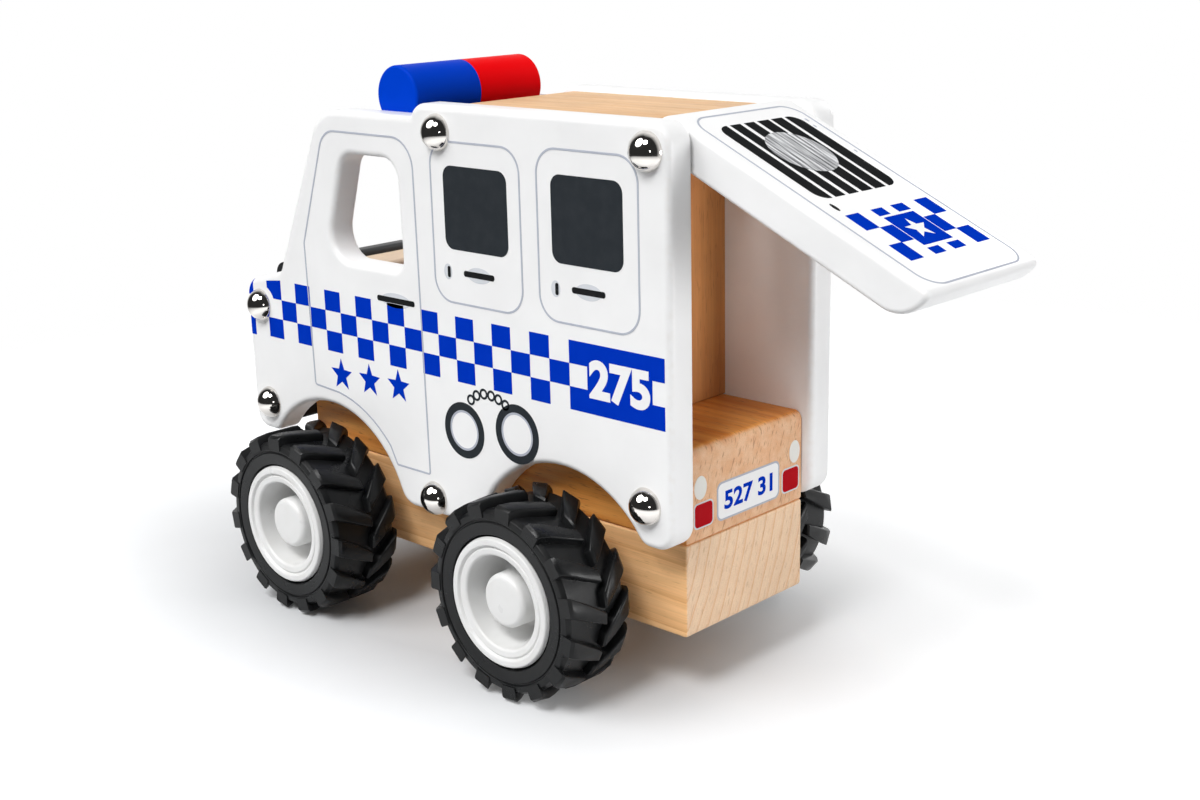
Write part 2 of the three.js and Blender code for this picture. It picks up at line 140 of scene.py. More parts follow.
# Light bar and screws
LIGHT_BAR_RADIUS = 9.5
LIGHT_BAR_END_ROUND = 1.0
LIGHT_BAR_MEETING_ROUND = 0.15
DOME_RADIUS = 5.6
DOME_HEIGHT = 4.55
DOME_STEPS = 16
SHANK_RADIUS = 2.0
SHANK_END = -19.0

# Wheels and axles
WHEEL_MID_PLANE = 48.5
LUGS_PER_SIDE = 15
LUG_RADIUS = 30.0
LUG_ROOT_SPREAD = 0.3
TYRE_FULLNESS = 1.02
AXLE_RADIUS = 2.0
AXLE_END_ROUND = 0.4

# Prints stand a hair proud of the paint and reach a little into it
PRINT_SINK = -0.05
PRINT_LIFT = 0.06
OVERPRINT_LIFT = 0.1
PLATE_LIFT = 0.09
TOP_LIFT = 0.12

# Fineness of curves
ARC_STEP = math.radians(5)
FEWEST_ARC_STEPS = 3
EDGE_STEPS = 5
EDGE_HOLD = 0.25
TURNED_SIDES = 96
TYRE_SIDES = 120
CAP_SIDES = 64
DOME_SIDES = 48
ROD_SIDES = 32
SHARP_ANGLE = math.radians(38)
DOUBLED_POINT = 1e-4
ON_THE_AXIS = 1e-6
WELD_REACH = 1e-6


def bench(x, y, z):
    """A point given in the bench frame, in the row frame."""
    return Vector((NOSE + x * MM, y * MM, z * MM))


def side_view(x, z, y):
    """A point of a board that is drawn from the side."""
    return bench(x, y, z)


def end_view(y, z, x):
    """A point of a board that is drawn from the end."""
    return bench(x, y, z)


def wheel_view(x, along, z):
    """A point of a wheel, in millimetres about its own axle."""
    return Vector((x, along, z))


# Outlines

def arc(x, z, radius, start, end):
    """Points along an arc between two angles."""
    steps = max(FEWEST_ARC_STEPS, math.ceil(abs(end - start) / ARC_STEP))
    turns = [start + (end - start) * i / steps for i in range(steps + 1)]
    return [(x + radius * math.cos(turn), z + radius * math.sin(turn)) for turn in turns]


def corner(before, at, after, radius):
    """The arc that rounds one corner of an outline."""
    into = (Vector(at) - Vector(before)).normalized()
    out = (Vector(after) - Vector(at)).normalized()
    turn = math.atan2(into.cross(out), into.dot(out))
    start = Vector(at) - into * radius * math.tan(abs(turn) / 2)
    centre = start + Vector((-into.y, into.x)) * math.copysign(radius, turn)
    angle = math.atan2(start.y - centre.y, start.x - centre.x)
    return arc(centre.x, centre.y, radius, angle, angle + turn)


def rounded(corners):
    """A closed outline from corners (x, z, radius)."""
    points = []
    for i, (x, z, radius) in enumerate(corners):
        before = corners[i - 1][:2]
        after = corners[(i + 1) % len(corners)][:2]
        points += corner(before, (x, z), after, radius) if radius else [(x, z)]
    return points


def rounded_box(left, right, low, high, radius):
    """A rectangle with four equal corners."""
    return rounded([(left, low, radius), (right, low, radius), (right, high, radius), (left, high, radius)])


def oval(x, z, half_width, half_height):
    """An ellipse as a closed outline."""
    return [(x + half_width * a, z + half_height * b) for a, b in arc(0, 0, 1, 0, math.tau)[:-1]]


STAR_POINTS = 5
STAR_WAIST = 0.42


def star(x, z, radius):
    """A plain star standing on two points."""
    points = []
    for i in range(2 * STAR_POINTS):
        reach = radius * STAR_WAIST if i % 2 else radius
        turn = math.pi * (0.5 + i / STAR_POINTS)
        points.append((x + reach * math.cos(turn), z + reach * math.sin(turn)))
    return points


def signed_area(loop):
    """The area inside a loop, above zero where it runs anticlockwise."""
    return sum(a[0] * b[1] - b[0] * a[1] for a, b in zip(loop, loop[1:] + loop[:1])) / 2


def cleaned(loop, anticlockwise=True):
    """A loop with no doubled points, running the way that is asked."""
    loop = [p for i, p in enumerate(loop) if (Vector(p) - Vector(loop[i - 1])).length > DOUBLED_POINT]
    return loop if (signed_area(loop) > 0) == anticlockwise else loop[::-1]


def inset(loop, depth):
    """A loop moved to its left by a depth, which is into the board for outlines and holes alike."""
    moved = []
    for i, point in enumerate(loop):
        at = Vector(point)
        into = (at - Vector(loop[i - 1])).normalized()
        out = (Vector(loop[(i + 1) % len(loop)]) - at).normalized()
        left_in = Vector((-into.y, into.x))
        left_out = Vector((-out.y, out.x))
        moved.append(tuple(at + (left_in + left_out) * depth / (1 + left_in.dot(left_out))))
    return moved


def arch_foot(arch_x, height, fillet, direction):
    """Centre of the round foot between an arch and a level edge, and the arch angle where they meet."""
    rise = height + fillet - ARCH_HEIGHT
    run = math.sqrt((ARCH_RADIUS + fillet) ** 2 - rise ** 2)
    return arch_x + direction * run, height + fillet, math.atan2(rise, direction * run)


def panel_outline():
    """Outline of a side panel, from the nose along the bottom to the tail and back over the roof."""
    nose_x, nose_z, nose_turn = arch_foot(FRONT_ARCH_X, NOSE_FOOT, NOSE_FOOT_FILLET, -1)
    fore_x, fore_z, fore_turn = arch_foot(FRONT_ARCH_X, SILL, SILL_FILLET, 1)
    aft_x, aft_z, aft_turn = arch_foot(REAR_ARCH_X, SILL, SILL_FILLET, -1)
    tail_x, tail_z, tail_turn = arch_foot(REAR_ARCH_X, TAIL_FOOT, TAIL_FOOT_FILLET, 1)
    points = arc(NOSE_FOOT_RADIUS, NOSE_FOOT + NOSE_FOOT_RADIUS, NOSE_FOOT_RADIUS, math.pi, DOWNWARDS)
    points += arc(nose_x, nose_z, NOSE_FOOT_FILLET, DOWNWARDS, nose_turn + math.pi)
    points += arc(FRONT_ARCH_X, ARCH_HEIGHT, ARCH_RADIUS, nose_turn, fore_turn)
    points += arc(fore_x, fore_z, SILL_FILLET, fore_turn + math.pi, DOWNWARDS)
    points += arc(aft_x, aft_z, SILL_FILLET, DOWNWARDS, aft_turn + math.pi)
    points += arc(REAR_ARCH_X, ARCH_HEIGHT, ARCH_RADIUS, aft_turn, tail_turn)
    points += arc(tail_x, tail_z, TAIL_FOOT_FILLET, tail_turn + math.pi, DOWNWARDS)
    tail_low = (PANEL_LENGTH, TAIL_FOOT)
    tail_high = (PANEL_LENGTH, BOX_ROOF)
    pillar_high = (PILLAR_TOP_X, CAB_ROOF)
    points += corner((tail_x, TAIL_FOOT), tail_low, tail_high, TAIL_FOOT_RADIUS)
    points += corner(tail_low, tail_high, (ROOF_STEP_X, BOX_ROOF), TAIL_RADIUS)
    drop = ROOF_STEP_RADIUS - (BOX_ROOF - CAB_ROOF)
    step_turn = math.pi - math.asin(drop / ROOF_STEP_RADIUS)
    step_x = ROOF_STEP_X + ROOF_STEP_RADIUS
    points += arc(step_x, BOX_ROOF - ROOF_STEP_RADIUS, ROOF_STEP_RADIUS, UPWARDS, step_turn)
    points += corner((ROOF_STEP_X, CAB_ROOF), pillar_high, BONNET_END, PILLAR_RADIUS)
    points += corner(pillar_high, BONNET_END, NOSE_TOP, BONNET_FILLET)
    points += corner(BONNET_END, NOSE_TOP, (0, NOSE_FOOT), NOSE_TOP_RADIUS)
    return cleaned(points)


# Solids

def edge_levels(low, high, edge_round):
    """How far in and how far across each ring of a board lies, and how much of an arris it is."""
    if not edge_round:
        return [(0, low, 0), (0, high, 0)]
    lower = [(edge_round + EDGE_HOLD, low, 0)]
    for i in range(EDGE_STEPS + 1):
        turn = math.pi / 2 * i / EDGE_STEPS
        depth = edge_round * (1 - math.sin(turn))
        lower.append((depth, low + edge_round * (1 - math.cos(turn)), math.sin(2 * turn)))
    return lower + [(depth, low + high - across, arris) for depth, across, arris in reversed(lower)]


def arris_layer(form):
    """Where a form keeps how much of an arris each point is."""
    return form.verts.layers.float.get("arris") or form.verts.layers.float.new("arris")


def add_board(form, outline, holes, low, high, edge_round, place):
    """A board with rounded edges: place turns (along, up, across) into a point."""
    layer = arris_layer(form)
    loops = [cleaned(outline)] + [cleaned(hole, False) for hole in holes]
    levels = edge_levels(low, high, edge_round)
    caps = {0: [], len(levels) - 1: []}
    for loop in loops:
        rings = []
        for level, (depth, across, arris) in enumerate(levels):
            points = inset(loop, depth) if depth else loop
            ring = [form.verts.new(place(x, z, across)) for x, z in points]
            for vert in ring:
                vert[layer] = arris
            rings.append(ring)
            if level in caps:
                caps[level].append((ring, points))
        for lower, upper in zip(rings, rings[1:]):
            for i in range(len(loop)):
                form.faces.new((lower[i - 1], lower[i], upper[i], upper[i - 1]))
    for rims in caps.values():
        verts = [vert for ring, _ in rims for vert in ring]
        flat = [[Vector((x, z, 0)) for x, z in points] for _, points in rims]
        for a, b, c in tessellate_polygon(flat):
            form.faces.new((verts[a], verts[b], verts[c]))


def turned(name, profile, place, sides=TURNED_SIDES, closed=False):
    """A turned mesh from (radius, along) points: place turns (x, along, z) into a point."""
    form = bmesh.new()
    turns = [math.tau * i / sides for i in range(sides)]
    rings = []
    for radius, along in profile:
        if radius < ON_THE_AXIS:
            spots = [place(0, along, 0)]
        else:
            spots = [place(radius * math.cos(turn), along, radius * math.sin(turn)) for turn in turns]
        rings.append([form.verts.new(spot) for spot in spots])
    for a, b in zip(rings, rings[1:] + (rings[:1] if closed else [])):
        for i in range(sides):
            j = (i + 1) % sides
            around = [a[i % len(a)], a[j % len(a)], b[j % len(b)], b[i % len(b)]]
            form.faces.new(list(dict.fromkeys(around)))
    return mesh_of(name, form)


def mesh_of(name, form):
    """A mesh from a form, with its faces turned outwards."""
    bmesh.ops.recalc_face_normals(form, faces=form.faces)
    mesh = bpy.data.meshes.new(name)
    form.to_mesh(mesh)
    form.free()
    return mesh


def board(name, outline, holes, low, high, edge_round, place):
    """A mesh of one board."""
    form = bmesh.new()
    add_board(form, outline, holes, low, high, edge_round, place)
    return mesh_of(name, form)


def object_of(name, data):
    """An object in the scene that holds a mesh, curve, lamp or camera."""
    made = bpy.data.objects.new(name, data)
    bpy.context.scene.collection.objects.link(made)
    return made


def combined(name, base, other, operation):
    """One mesh from two by a boolean."""
    target = object_of(name + "_base", base)
    tool = object_of(name + "_tool", other)
    step = target.modifiers.new("combine", "BOOLEAN")
    step.object = tool
    step.operation = operation
    step.solver = "EXACT"
    step.use_self = True
    graph = bpy.context.evaluated_depsgraph_get()
    result = bpy.data.meshes.new_from_object(target.evaluated_get(graph))
    result.name = name
    bpy.data.objects.remove(target)
    bpy.data.objects.remove(tool)
    return result


def finish_piece(name, mesh, material, body, slot, *replaced):
    """A finished piece on its body, standing for the solids that it replaces."""
    mesh.materials.clear()
    mesh.materials.append(material)
    mesh.shade_smooth()
    mesh.set_sharp_from_angle(angle=SHARP_ANGLE)
    made = object_of(name, mesh)
    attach(made, body)
    if replaced:
        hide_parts(*replaced)


# Shader building

def node(tree, kind, inputs=None, **settings):
    """A shader node with its settings, and its inputs set or linked."""
    made = tree.nodes.new(kind)
    for key, value in settings.items():
        setattr(made, key, value)
    for key, value in (inputs or {}).items():
        if isinstance(value, bpy.types.NodeSocket):
            tree.links.new(value, made.inputs[key])
        else:
            made.inputs[key].default_value = value
    return made


def sums(tree, operation, a, b=0.0):
    """A sum of two values."""
    return node(tree, "ShaderNodeMath", {0: a, 1: b}, operation=operation).outputs[0]


def product(tree, a, b):
    """Two values multiplied."""
    return sums(tree, "MULTIPLY", a, b)


def vectors(tree, operation, a, b):
    """A sum of two vectors."""
    return node(tree, "ShaderNodeVectorMath", {0: a, 1: b}, operation=operation).outputs["Vector"]


def length(tree, vector):
    """How long a vector is."""
    return node(tree, "ShaderNodeVectorMath", {0: vector}, operation="LENGTH").outputs["Value"]


def grey(tree, tone):
    """A grey of a tone."""
    return node(tree, "ShaderNodeCombineColor", {0: tone, 1: tone, 2: tone}).outputs[0]


# Sockets of the mix node that take and give colours
MIX_FACTOR = 0
MIX_FIRST = 6
MIX_SECOND = 7
MIX_RESULT = 2


def mixed(tree, factor, a, b, blend="MIX"):
    """Two colours mixed by a factor."""
    inputs = {MIX_FACTOR: factor, MIX_FIRST: a, MIX_SECOND: b}
    return node(tree, "ShaderNodeMix", inputs, data_type="RGBA", blend_type=blend).outputs[MIX_RESULT]


def shaded(tree, colour, tone):
    """A colour made lighter or darker by a tone."""
    return mixed(tree, 1.0, colour, grey(tree, tone), "MULTIPLY")


def ramped(tree, value, low, high, to_low=0.0, to_high=1.0):
    """A value taken from one range to another."""
    inputs = {"Value": value, "From Min": low, "From Max": high, "To Min": to_low, "To Max": to_high}
    return node(tree, "ShaderNodeMapRange", inputs).outputs["Result"]


def noise(tree, place, scale=1.0, detail=2.0, stretch=None):
    """Noise over a place in millimetres, drawn out along some axes where a stretch is given."""
    if stretch:
        place = vectors(tree, "MULTIPLY", place, stretch)
    inputs = {"Vector": place, "Scale": scale, "Detail": detail}
    return node(tree, "ShaderNodeTexNoise", inputs).outputs["Fac"]


def wavering(tree, level, cloud, below, above):
    """A level that wavers with a cloud, from so much below it to so much above it."""
    return sums(tree, "ADD", level, ramped(tree, cloud, *CLOUD_SPREAD, below, above))


def shader_group(name, inputs, outputs):
    """An empty shader group, with its named inputs and outputs."""
    tree = bpy.data.node_groups.new(name, "ShaderNodeTree")
    for label, kind in inputs.items():
        tree.interface.new_socket(label, in_out="INPUT", socket_type="NodeSocket" + kind)
    for label, kind in outputs.items():
        tree.interface.new_socket(label, in_out="OUTPUT", socket_type="NodeSocket" + kind)
    return tree, tree.nodes.new("NodeGroupInput").outputs, tree.nodes.new("NodeGroupOutput").inputs


FINISH_OUTPUTS = {"Colour": "Color", "Roughness": "Float", "Height": "Float"}
# Most of a noise lies between these two values
CLOUD_SPREAD = (0.3, 0.7)


def put_out(tree, gives, colour, roughness, height):
    """A group with its three outputs linked."""
    tree.links.new(colour, gives["Colour"])
    tree.links.new(roughness, gives["Roughness"])
    tree.links.new(height, gives["Height"])
    return tree


# Beech grain; a stretch is along the fibres first and then across them
RING_WANDER = 1.6
RING_WANDER_STRETCH = (0.25, 1, 1)
LATE_WOOD_POWER = 7.0
LATE_WOOD_SHARE = 0.8
FINE_LINES_A_YEAR = 3.7
FINE_LINE_POWER = 3.0
FINE_LINE_SHARE = 0.18
END_GRAIN_FACING = (0.4, 0.75)
BAND_STRETCH = (0.012, 0.3, 0.3)
BAND_SPREAD = (0.35, 0.68)
END_BAND_SHARE = 0.4
FLECK_STRETCH = (0.2, 1.7, 1.7)
FLECK_SPREAD = (0.63, 0.72)
FLECK_DEPTH = 0.6
END_FLECK_TILT = 0.35
END_FLECK_STRETCH = (0.5, 1.5, 0.32)
END_FLECK_SPREAD = (0.6, 0.72)
FIBRE_STRETCH = (0.05, 2.6, 2.6)
FIBRE_TONES = (-0.09, 0.06)
FIBRE_ROUGHNESS = (0.42, 0.58)
BEECH_TONES = (0.95, 1.05)
BEECH_RELIEF = 0.03
BEECH_SPECULAR = 0.3


def beech_group():
    """Beech, with its grain along x: growth lines about a far heart, soft bands, flecks and fine fibres."""
    inputs = {
        "Place": "Vector", "Facing": "Vector",
        "Pale": "Color", "Ring": "Color", "Fleck": "Color", "End": "Color",
        "Spacing": "Float", "Rings": "Float", "Bands": "Float", "Flecks": "Float",
    }
    tree, given, gives = shader_group("beech_grain", inputs, FINISH_OUTPUTS)
    place = given["Place"]
    facing_x = node(tree, "ShaderNodeSeparateXYZ", {0: given["Facing"]}).outputs["X"]
    end = ramped(tree, sums(tree, "ABSOLUTE", facing_x), *END_GRAIN_FACING)
    wander = product(tree, noise(tree, place, scale=0.02, stretch=RING_WANDER_STRETCH), RING_WANDER)
    radius = length(tree, vectors(tree, "MULTIPLY", place, (0, 1, 1)))
    years = sums(tree, "ADD", sums(tree, "DIVIDE", radius, given["Spacing"]), wander)
    late = sums(tree, "POWER", sums(tree, "FRACT", years), LATE_WOOD_POWER)
    fine_years = product(tree, years, FINE_LINES_A_YEAR)
    fine = sums(tree, "POWER", sums(tree, "FRACT", fine_years), FINE_LINE_POWER)
    lines = sums(tree, "ADD", product(tree, late, LATE_WOOD_SHARE), product(tree, fine, FINE_LINE_SHARE))
    band = ramped(tree, noise(tree, place, stretch=BAND_STRETCH), *BAND_SPREAD)
    tilt = {"Vector": place, "Angle": END_FLECK_TILT}
    tilted = node(tree, "ShaderNodeVectorRotate", tilt, rotation_type="X_AXIS").outputs[0]
    on_end = ramped(tree, noise(tree, tilted, detail=1.0, stretch=END_FLECK_STRETCH), *END_FLECK_SPREAD)
    on_side = ramped(tree, noise(tree, place, detail=1.0, stretch=FLECK_STRETCH), *FLECK_SPREAD)
    flecks = ramped(tree, end, 0.0, 1.0, on_side, on_end)
    fibre = noise(tree, place, detail=3.0, stretch=FIBRE_STRETCH)
    cloud = noise(tree, place, scale=0.05)
    plain = mixed(tree, end, given["Pale"], given["End"])
    ringed = mixed(tree, product(tree, lines, given["Rings"]), plain, given["Ring"])
    banding = product(tree, given["Bands"], ramped(tree, end, 0.0, 1.0, 1.0, END_BAND_SHARE))
    banded = mixed(tree, product(tree, band, banding), ringed, given["Ring"])
    flecked = mixed(tree, product(tree, flecks, given["Flecks"]), banded, given["Fleck"])
    tone = wavering(tree, ramped(tree, cloud, *CLOUD_SPREAD, *BEECH_TONES), fibre, *FIBRE_TONES)
    roughness = ramped(tree, fibre, *CLOUD_SPREAD, *FIBRE_ROUGHNESS)
    height = sums(tree, "SUBTRACT", fibre, product(tree, flecks, FLECK_DEPTH))
    return put_out(tree, gives, shaded(tree, flecked, tone), roughness, height)


PAINT_TONES = (0.975, 1.015)
PAINT_SHEEN = (-0.05, 0.07)
PAINT_RUB_SPREAD = (0.45, 0.7)
PAINT_WEAR = 0.16
PAINT_RELIEF = 0.006


def paint_group():
    """Sprayed paint: slight mottling, a fine orange peel, and wear along the arrises."""
    inputs = {"Place": "Vector", "Colour": "Color", "Under": "Color", "Arris": "Float", "Gloss": "Float"}
    tree, given, gives = shader_group("sprayed_paint", inputs, FINISH_OUTPUTS)
    cloud = noise(tree, given["Place"], scale=0.06, detail=3.0)
    peel = noise(tree, given["Place"], scale=1.1)
    rub = ramped(tree, noise(tree, given["Place"], scale=0.5, detail=3.0), *PAINT_RUB_SPREAD)
    worn = product(tree, product(tree, given["Arris"], rub), PAINT_WEAR)
    coat = shaded(tree, given["Colour"], ramped(tree, cloud, *CLOUD_SPREAD, *PAINT_TONES))
    colour = mixed(tree, worn, coat, given["Under"])
    return put_out(tree, gives, colour, wavering(tree, given["Gloss"], cloud, *PAINT_SHEEN), peel)


MOULDED_SHEEN = (-0.08, 0.1)
DUST_SPREAD = (0.45, 0.75)


def moulded_group():
    """Moulded rubber or plastic: a fine pebble, cloudy sheen and pale dust in patches."""
    inputs = {"Place": "Vector", "Colour": "Color", "Dust": "Color", "Dusting": "Float", "Gloss": "Float"}
    tree, given, gives = shader_group("moulded_skin", inputs, FINISH_OUTPUTS)
    pebble = noise(tree, given["Place"], scale=2.2)
    cloud = noise(tree, given["Place"], scale=0.12, detail=3.0)
    dusty = product(tree, ramped(tree, cloud, *DUST_SPREAD), given["Dusting"])
    colour = mixed(tree, dusty, given["Colour"], given["Dust"])
    return put_out(tree, gives, colour, wavering(tree, given["Gloss"], cloud, *MOULDED_SHEEN), pebble)


METAL_TONES = (0.94, 1.0)
SMEAR_SPREAD = (0.4, 0.7)
DRAWN_LINE_STRETCH = (6, 0.2, 6)


def metal_group():
    """Bright metal: faint drawn lines and the smear of handling."""
    inputs = {"Place": "Vector", "Colour": "Color", "Gloss": "Float", "Smear": "Float"}
    tree, given, gives = shader_group("bright_metal", inputs, FINISH_OUTPUTS)
    smear = noise(tree, given["Place"], scale=0.35, detail=3.0)
    lines = noise(tree, given["Place"], stretch=DRAWN_LINE_STRETCH)
    colour = shaded(tree, given["Colour"], ramped(tree, smear, *CLOUD_SPREAD, *METAL_TONES))
    spread = product(tree, ramped(tree, smear, *SMEAR_SPREAD), given["Smear"])
    return put_out(tree, gives, colour, sums(tree, "ADD", given["Gloss"], spread), lines)


INK_SHEEN = (-0.05, 0.08)
THIN_INK_SPREAD = (0.4, 0.8)
THIN_INK_SHARE = 0.22
INK_GLOSS = 0.38
INK_RELIEF = 0.004


def ink_group():
    """Screen-printed ink: slightly uneven cover and a trace of the mesh."""
    inputs = {"Place": "Vector", "Colour": "Color", "Thin": "Color", "Gloss": "Float"}
    tree, given, gives = shader_group("screen_ink", inputs, FINISH_OUTPUTS)
    cover = noise(tree, given["Place"], scale=0.25, detail=4.0)
    screen = noise(tree, given["Place"], scale=3.0, detail=1.0)
    thin = product(tree, ramped(tree, cover, *THIN_INK_SPREAD), THIN_INK_SHARE)
    colour = mixed(tree, thin, given["Colour"], given["Thin"])
    return put_out(tree, gives, colour, wavering(tree, given["Gloss"], cover, *INK_SHEEN), screen)


GROUPS = {
    "beech": beech_group(),
    "paint": paint_group(),
    "moulded": moulded_group(),
    "metal": metal_group(),
    "ink": ink_group(),
}


# Finishes

def place_in_mm(tree, turn=(0, 0, 0), shift=(0, 0, 0)):
    """Where a point is on its piece, in millimetres."""
    spot = node(tree, "ShaderNodeTexCoord").outputs["Object"]
    inputs = {"Vector": spot, "Scale": (1 / MM, 1 / MM, 1 / MM), "Rotation": turn, "Location": shift}
    return node(tree, "ShaderNodeMapping", inputs).outputs["Vector"]


def plain_material(name):
    """A new material, its tree and its shader."""
    material = bpy.data.materials.new(name)
    material.use_nodes = True
    return material, material.node_tree, material.node_tree.nodes["Principled BSDF"]


def finish(name, group, values, bump, turn=(0, 0, 0), shift=(0, 0, 0), arris=False, facing=False, **shader):
    """A material from a shared effect, with the shader's plain values set on its own sockets."""
    material, tree, principled = plain_material(name)
    inputs = {"Place": place_in_mm(tree, turn, shift), **values}
    if arris:
        inputs["Arris"] = node(tree, "ShaderNodeAttribute", attribute_name="arris").outputs["Fac"]
    if facing:
        normal = {"Vector": node(tree, "ShaderNodeTexCoord").outputs["Normal"], "Rotation": turn}
        inputs["Facing"] = node(tree, "ShaderNodeMapping", normal, vector_type="NORMAL").outputs["Vector"]
    effect = node(tree, "ShaderNodeGroup", inputs, node_tree=GROUPS[group]).outputs
    tree.links.new(effect["Colour"], principled.inputs["Base Color"])
    tree.links.new(effect["Roughness"], principled.inputs["Roughness"])
    relief = {"Height": effect["Height"], "Strength": 1.0, "Distance": bump * MM}
    tree.links.new(node(tree, "ShaderNodeBump", relief).outputs["Normal"], principled.inputs["Normal"])
    for key, value in shader.items():
        principled.inputs[key.replace("_", " ")].default_value = value
    return material


def rgb(red, green, blue):
    """A colour as it looks on screen, from 0 to 255, as the shader takes it."""
    on_screen = Color((red / 255, green / 255, blue / 255))
    return (*on_screen.from_srgb_to_scene_linear(), 1.0)


def beech(name, pale, ring, fleck, end, spacing, strengths, turn, shift):
    """Beech in four colours; the strengths are those of its rings, bands and flecks."""
    rings, bands, flecks = strengths
    colours = {"Pale": rgb(*pale), "Ring": rgb(*ring), "Fleck": rgb(*fleck), "End": rgb(*end)}
    values = {**colours, "Spacing": spacing, "Rings": rings, "Bands": bands, "Flecks": flecks}
    return finish(
        name, "beech", values, BEECH_RELIEF, turn, shift, facing=True, Specular_IOR_Level=BEECH_SPECULAR,
    )


def paint(name, colour, under, gloss, specular):
    """Board paint, with what shows under it where it is worn."""
    values = {"Colour": rgb(*colour), "Under": rgb(*under), "Gloss": gloss}
    return finish(name, "paint", values, PAINT_RELIEF, arris=True, Specular_IOR_Level=specular)


def metal(name, colour, gloss, smear, bump):
    """Bare metal."""
    values = {"Colour": rgb(*colour), "Gloss": gloss, "Smear": smear}
    return finish(name, "metal", values, bump, Metallic=1.0)


def moulding(name, colour, dust, dusting, gloss, bump, specular=0.5):
    """Rubber or plastic from a mould, with its dust."""
    values = {"Colour": rgb(*colour), "Dust": rgb(*dust), "Dusting": dusting, "Gloss": gloss}
    return finish(name, "moulded", values, bump, Specular_IOR_Level=specular)


def ink(name, colour, thin, gloss=INK_GLOSS):
    """Printing ink, with its colour where it lies thin."""
    values = {"Colour": rgb(*colour), "Thin": rgb(*thin), "Gloss": gloss}
    return finish(name, "ink", values, INK_RELIEF, Specular_IOR_Level=0.0)


ALONG_GRAIN = (0, 0, 0)
ACROSS_GRAIN = (0, 0, math.pi / 2)
UPRIGHT_GRAIN = (0, math.pi / 2, 0)
WHITE_PAINT = paint("white_board_paint", (241, 241, 241), (222, 214, 202), gloss=0.34, specular=0.4)
BLACK_PAINT = paint("black_board_paint", (34, 35, 37), (92, 78, 64), gloss=0.42, specular=0.3)
BLUE_PAINT = paint("blue_dowel_paint", (0, 61, 196), (30, 88, 214), gloss=0.4, specular=0.02)
RED_PAINT = paint("red_dowel_paint", (236, 6, 14), (236, 74, 62), gloss=0.4, specular=0.02)
FLOOR_BEECH = beech(
    "floor_beech", pale=(234, 164, 86), ring=(202, 116, 42), fleck=(150, 92, 52), end=(226, 184, 146),
    spacing=9.0, strengths=(0.1, 0.75, 0.6), turn=ALONG_GRAIN, shift=(0, 60, 160),
)
ROOF_BEECH = beech(
    "roof_beech", pale=(230, 190, 144), ring=(206, 152, 98), fleck=(178, 122, 76), end=(232, 200, 164),
    spacing=8.0, strengths=(0.1, 0.6, 0.45), turn=ALONG_GRAIN, shift=(0, 40, -300),
)
# The bulkhead's beech is darker than the floor's and roof's: painted shade for the dim load bay it stands in
SHADED_BULKHEAD_BEECH = beech(
    "shaded_bulkhead_beech", pale=(206, 142, 82), ring=(178, 110, 56), fleck=(142, 84, 44), end=(206, 160, 112),
    spacing=8.0, strengths=(0.1, 0.6, 0.4), turn=UPRIGHT_GRAIN, shift=(40, 90, 0),
)
CHASSIS_BEECH = beech(
    "chassis_beech", pale=(246, 196, 140), ring=(212, 148, 90), fleck=(150, 94, 52), end=(234, 204, 172),
    spacing=4.3, strengths=(0.75, 0.3, 0.26), turn=ALONG_GRAIN, shift=(0, 177, -98),
)
BONNET_BEECH = beech(
    "bonnet_beech", pale=(230, 208, 184), ring=(212, 180, 146), fleck=(178, 138, 102), end=(230, 208, 184),
    spacing=6.0, strengths=(0.2, 0.5, 0.4), turn=ACROSS_GRAIN, shift=(0, 70, -90),
)
CHROME = metal("chrome_dome", (228, 224, 219), gloss=0.05, smear=0.05, bump=0.0004)
STEEL = metal("drawn_steel", (186, 187, 189), gloss=0.26, smear=0.12, bump=0.003)
RUBBER = moulding(
    "tyre_rubber_skin", (20, 21, 22), (44, 43, 42), dusting=0.3, gloss=0.32, bump=0.02, specular=0.2,
)
WHITE_PLASTIC = moulding(
    "white_wheel_plastic", (222, 222, 221), (203, 201, 196), dusting=0.25, gloss=0.34, bump=0.004,
)
BLUE_INK = ink("blue_ink", (2, 50, 180), (14, 60, 192))
DARK_INK = ink("dark_glass_ink", (46, 50, 54), (64, 68, 72), gloss=0.5)
BLACK_INK = ink("black_ink", (32, 33, 34), (56, 56, 57))
LINE_INK = ink("grey_line_ink", (176, 180, 192), (204, 206, 214))
PALE_INK = ink("pale_grey_ink", (208, 211, 216), (226, 228, 231))
WHITE_INK = ink("white_ink", (240, 240, 240), (228, 229, 231))
RED_INK = ink("red_lamp_ink", (172, 24, 32), (186, 44, 50), gloss=0.3)
PEARL_INK = ink("pearl_lamp_ink", (228, 227, 222), (206, 203, 196), gloss=0.24)

# Brushed silver of the tailgate's disc
SILVER_DARK = (112, 114, 118)
SILVER_LIGHT = (232, 233, 235)
STREAK_STRETCH = (0.07, 1.1, 0.2)
STREAK_TONE_SPREAD = (0.36, 0.62)
STREAK_SPREAD = (0.35, 0.65)
STREAK_ROUGHNESS = (0.5, 0.35)
STREAK_COVER = (0.62, 0.92)
STREAK_SPECULAR = 0.2


def streaked_silver(turn):
    """Thin brushed silver ink, its streaks along x once turned, with what lies below showing through."""
    material, tree, principled = plain_material("brushed_silver_ink")
    streaks = noise(tree, place_in_mm(tree, turn), detail=3.0, stretch=STREAK_STRETCH)
    colour = mixed(tree, ramped(tree, streaks, *STREAK_TONE_SPREAD), rgb(*SILVER_DARK), rgb(*SILVER_LIGHT))
    roughness = ramped(tree, streaks, *STREAK_SPREAD, *STREAK_ROUGHNESS)
    cover = ramped(tree, streaks, *STREAK_SPREAD, *STREAK_COVER)
    tree.links.new(colour, principled.inputs["Base Color"])
    tree.links.new(roughness, principled.inputs["Roughness"])
    tree.links.new(cover, principled.inputs["Alpha"])
    principled.inputs["Specular IOR Level"].default_value = STREAK_SPECULAR
    return material


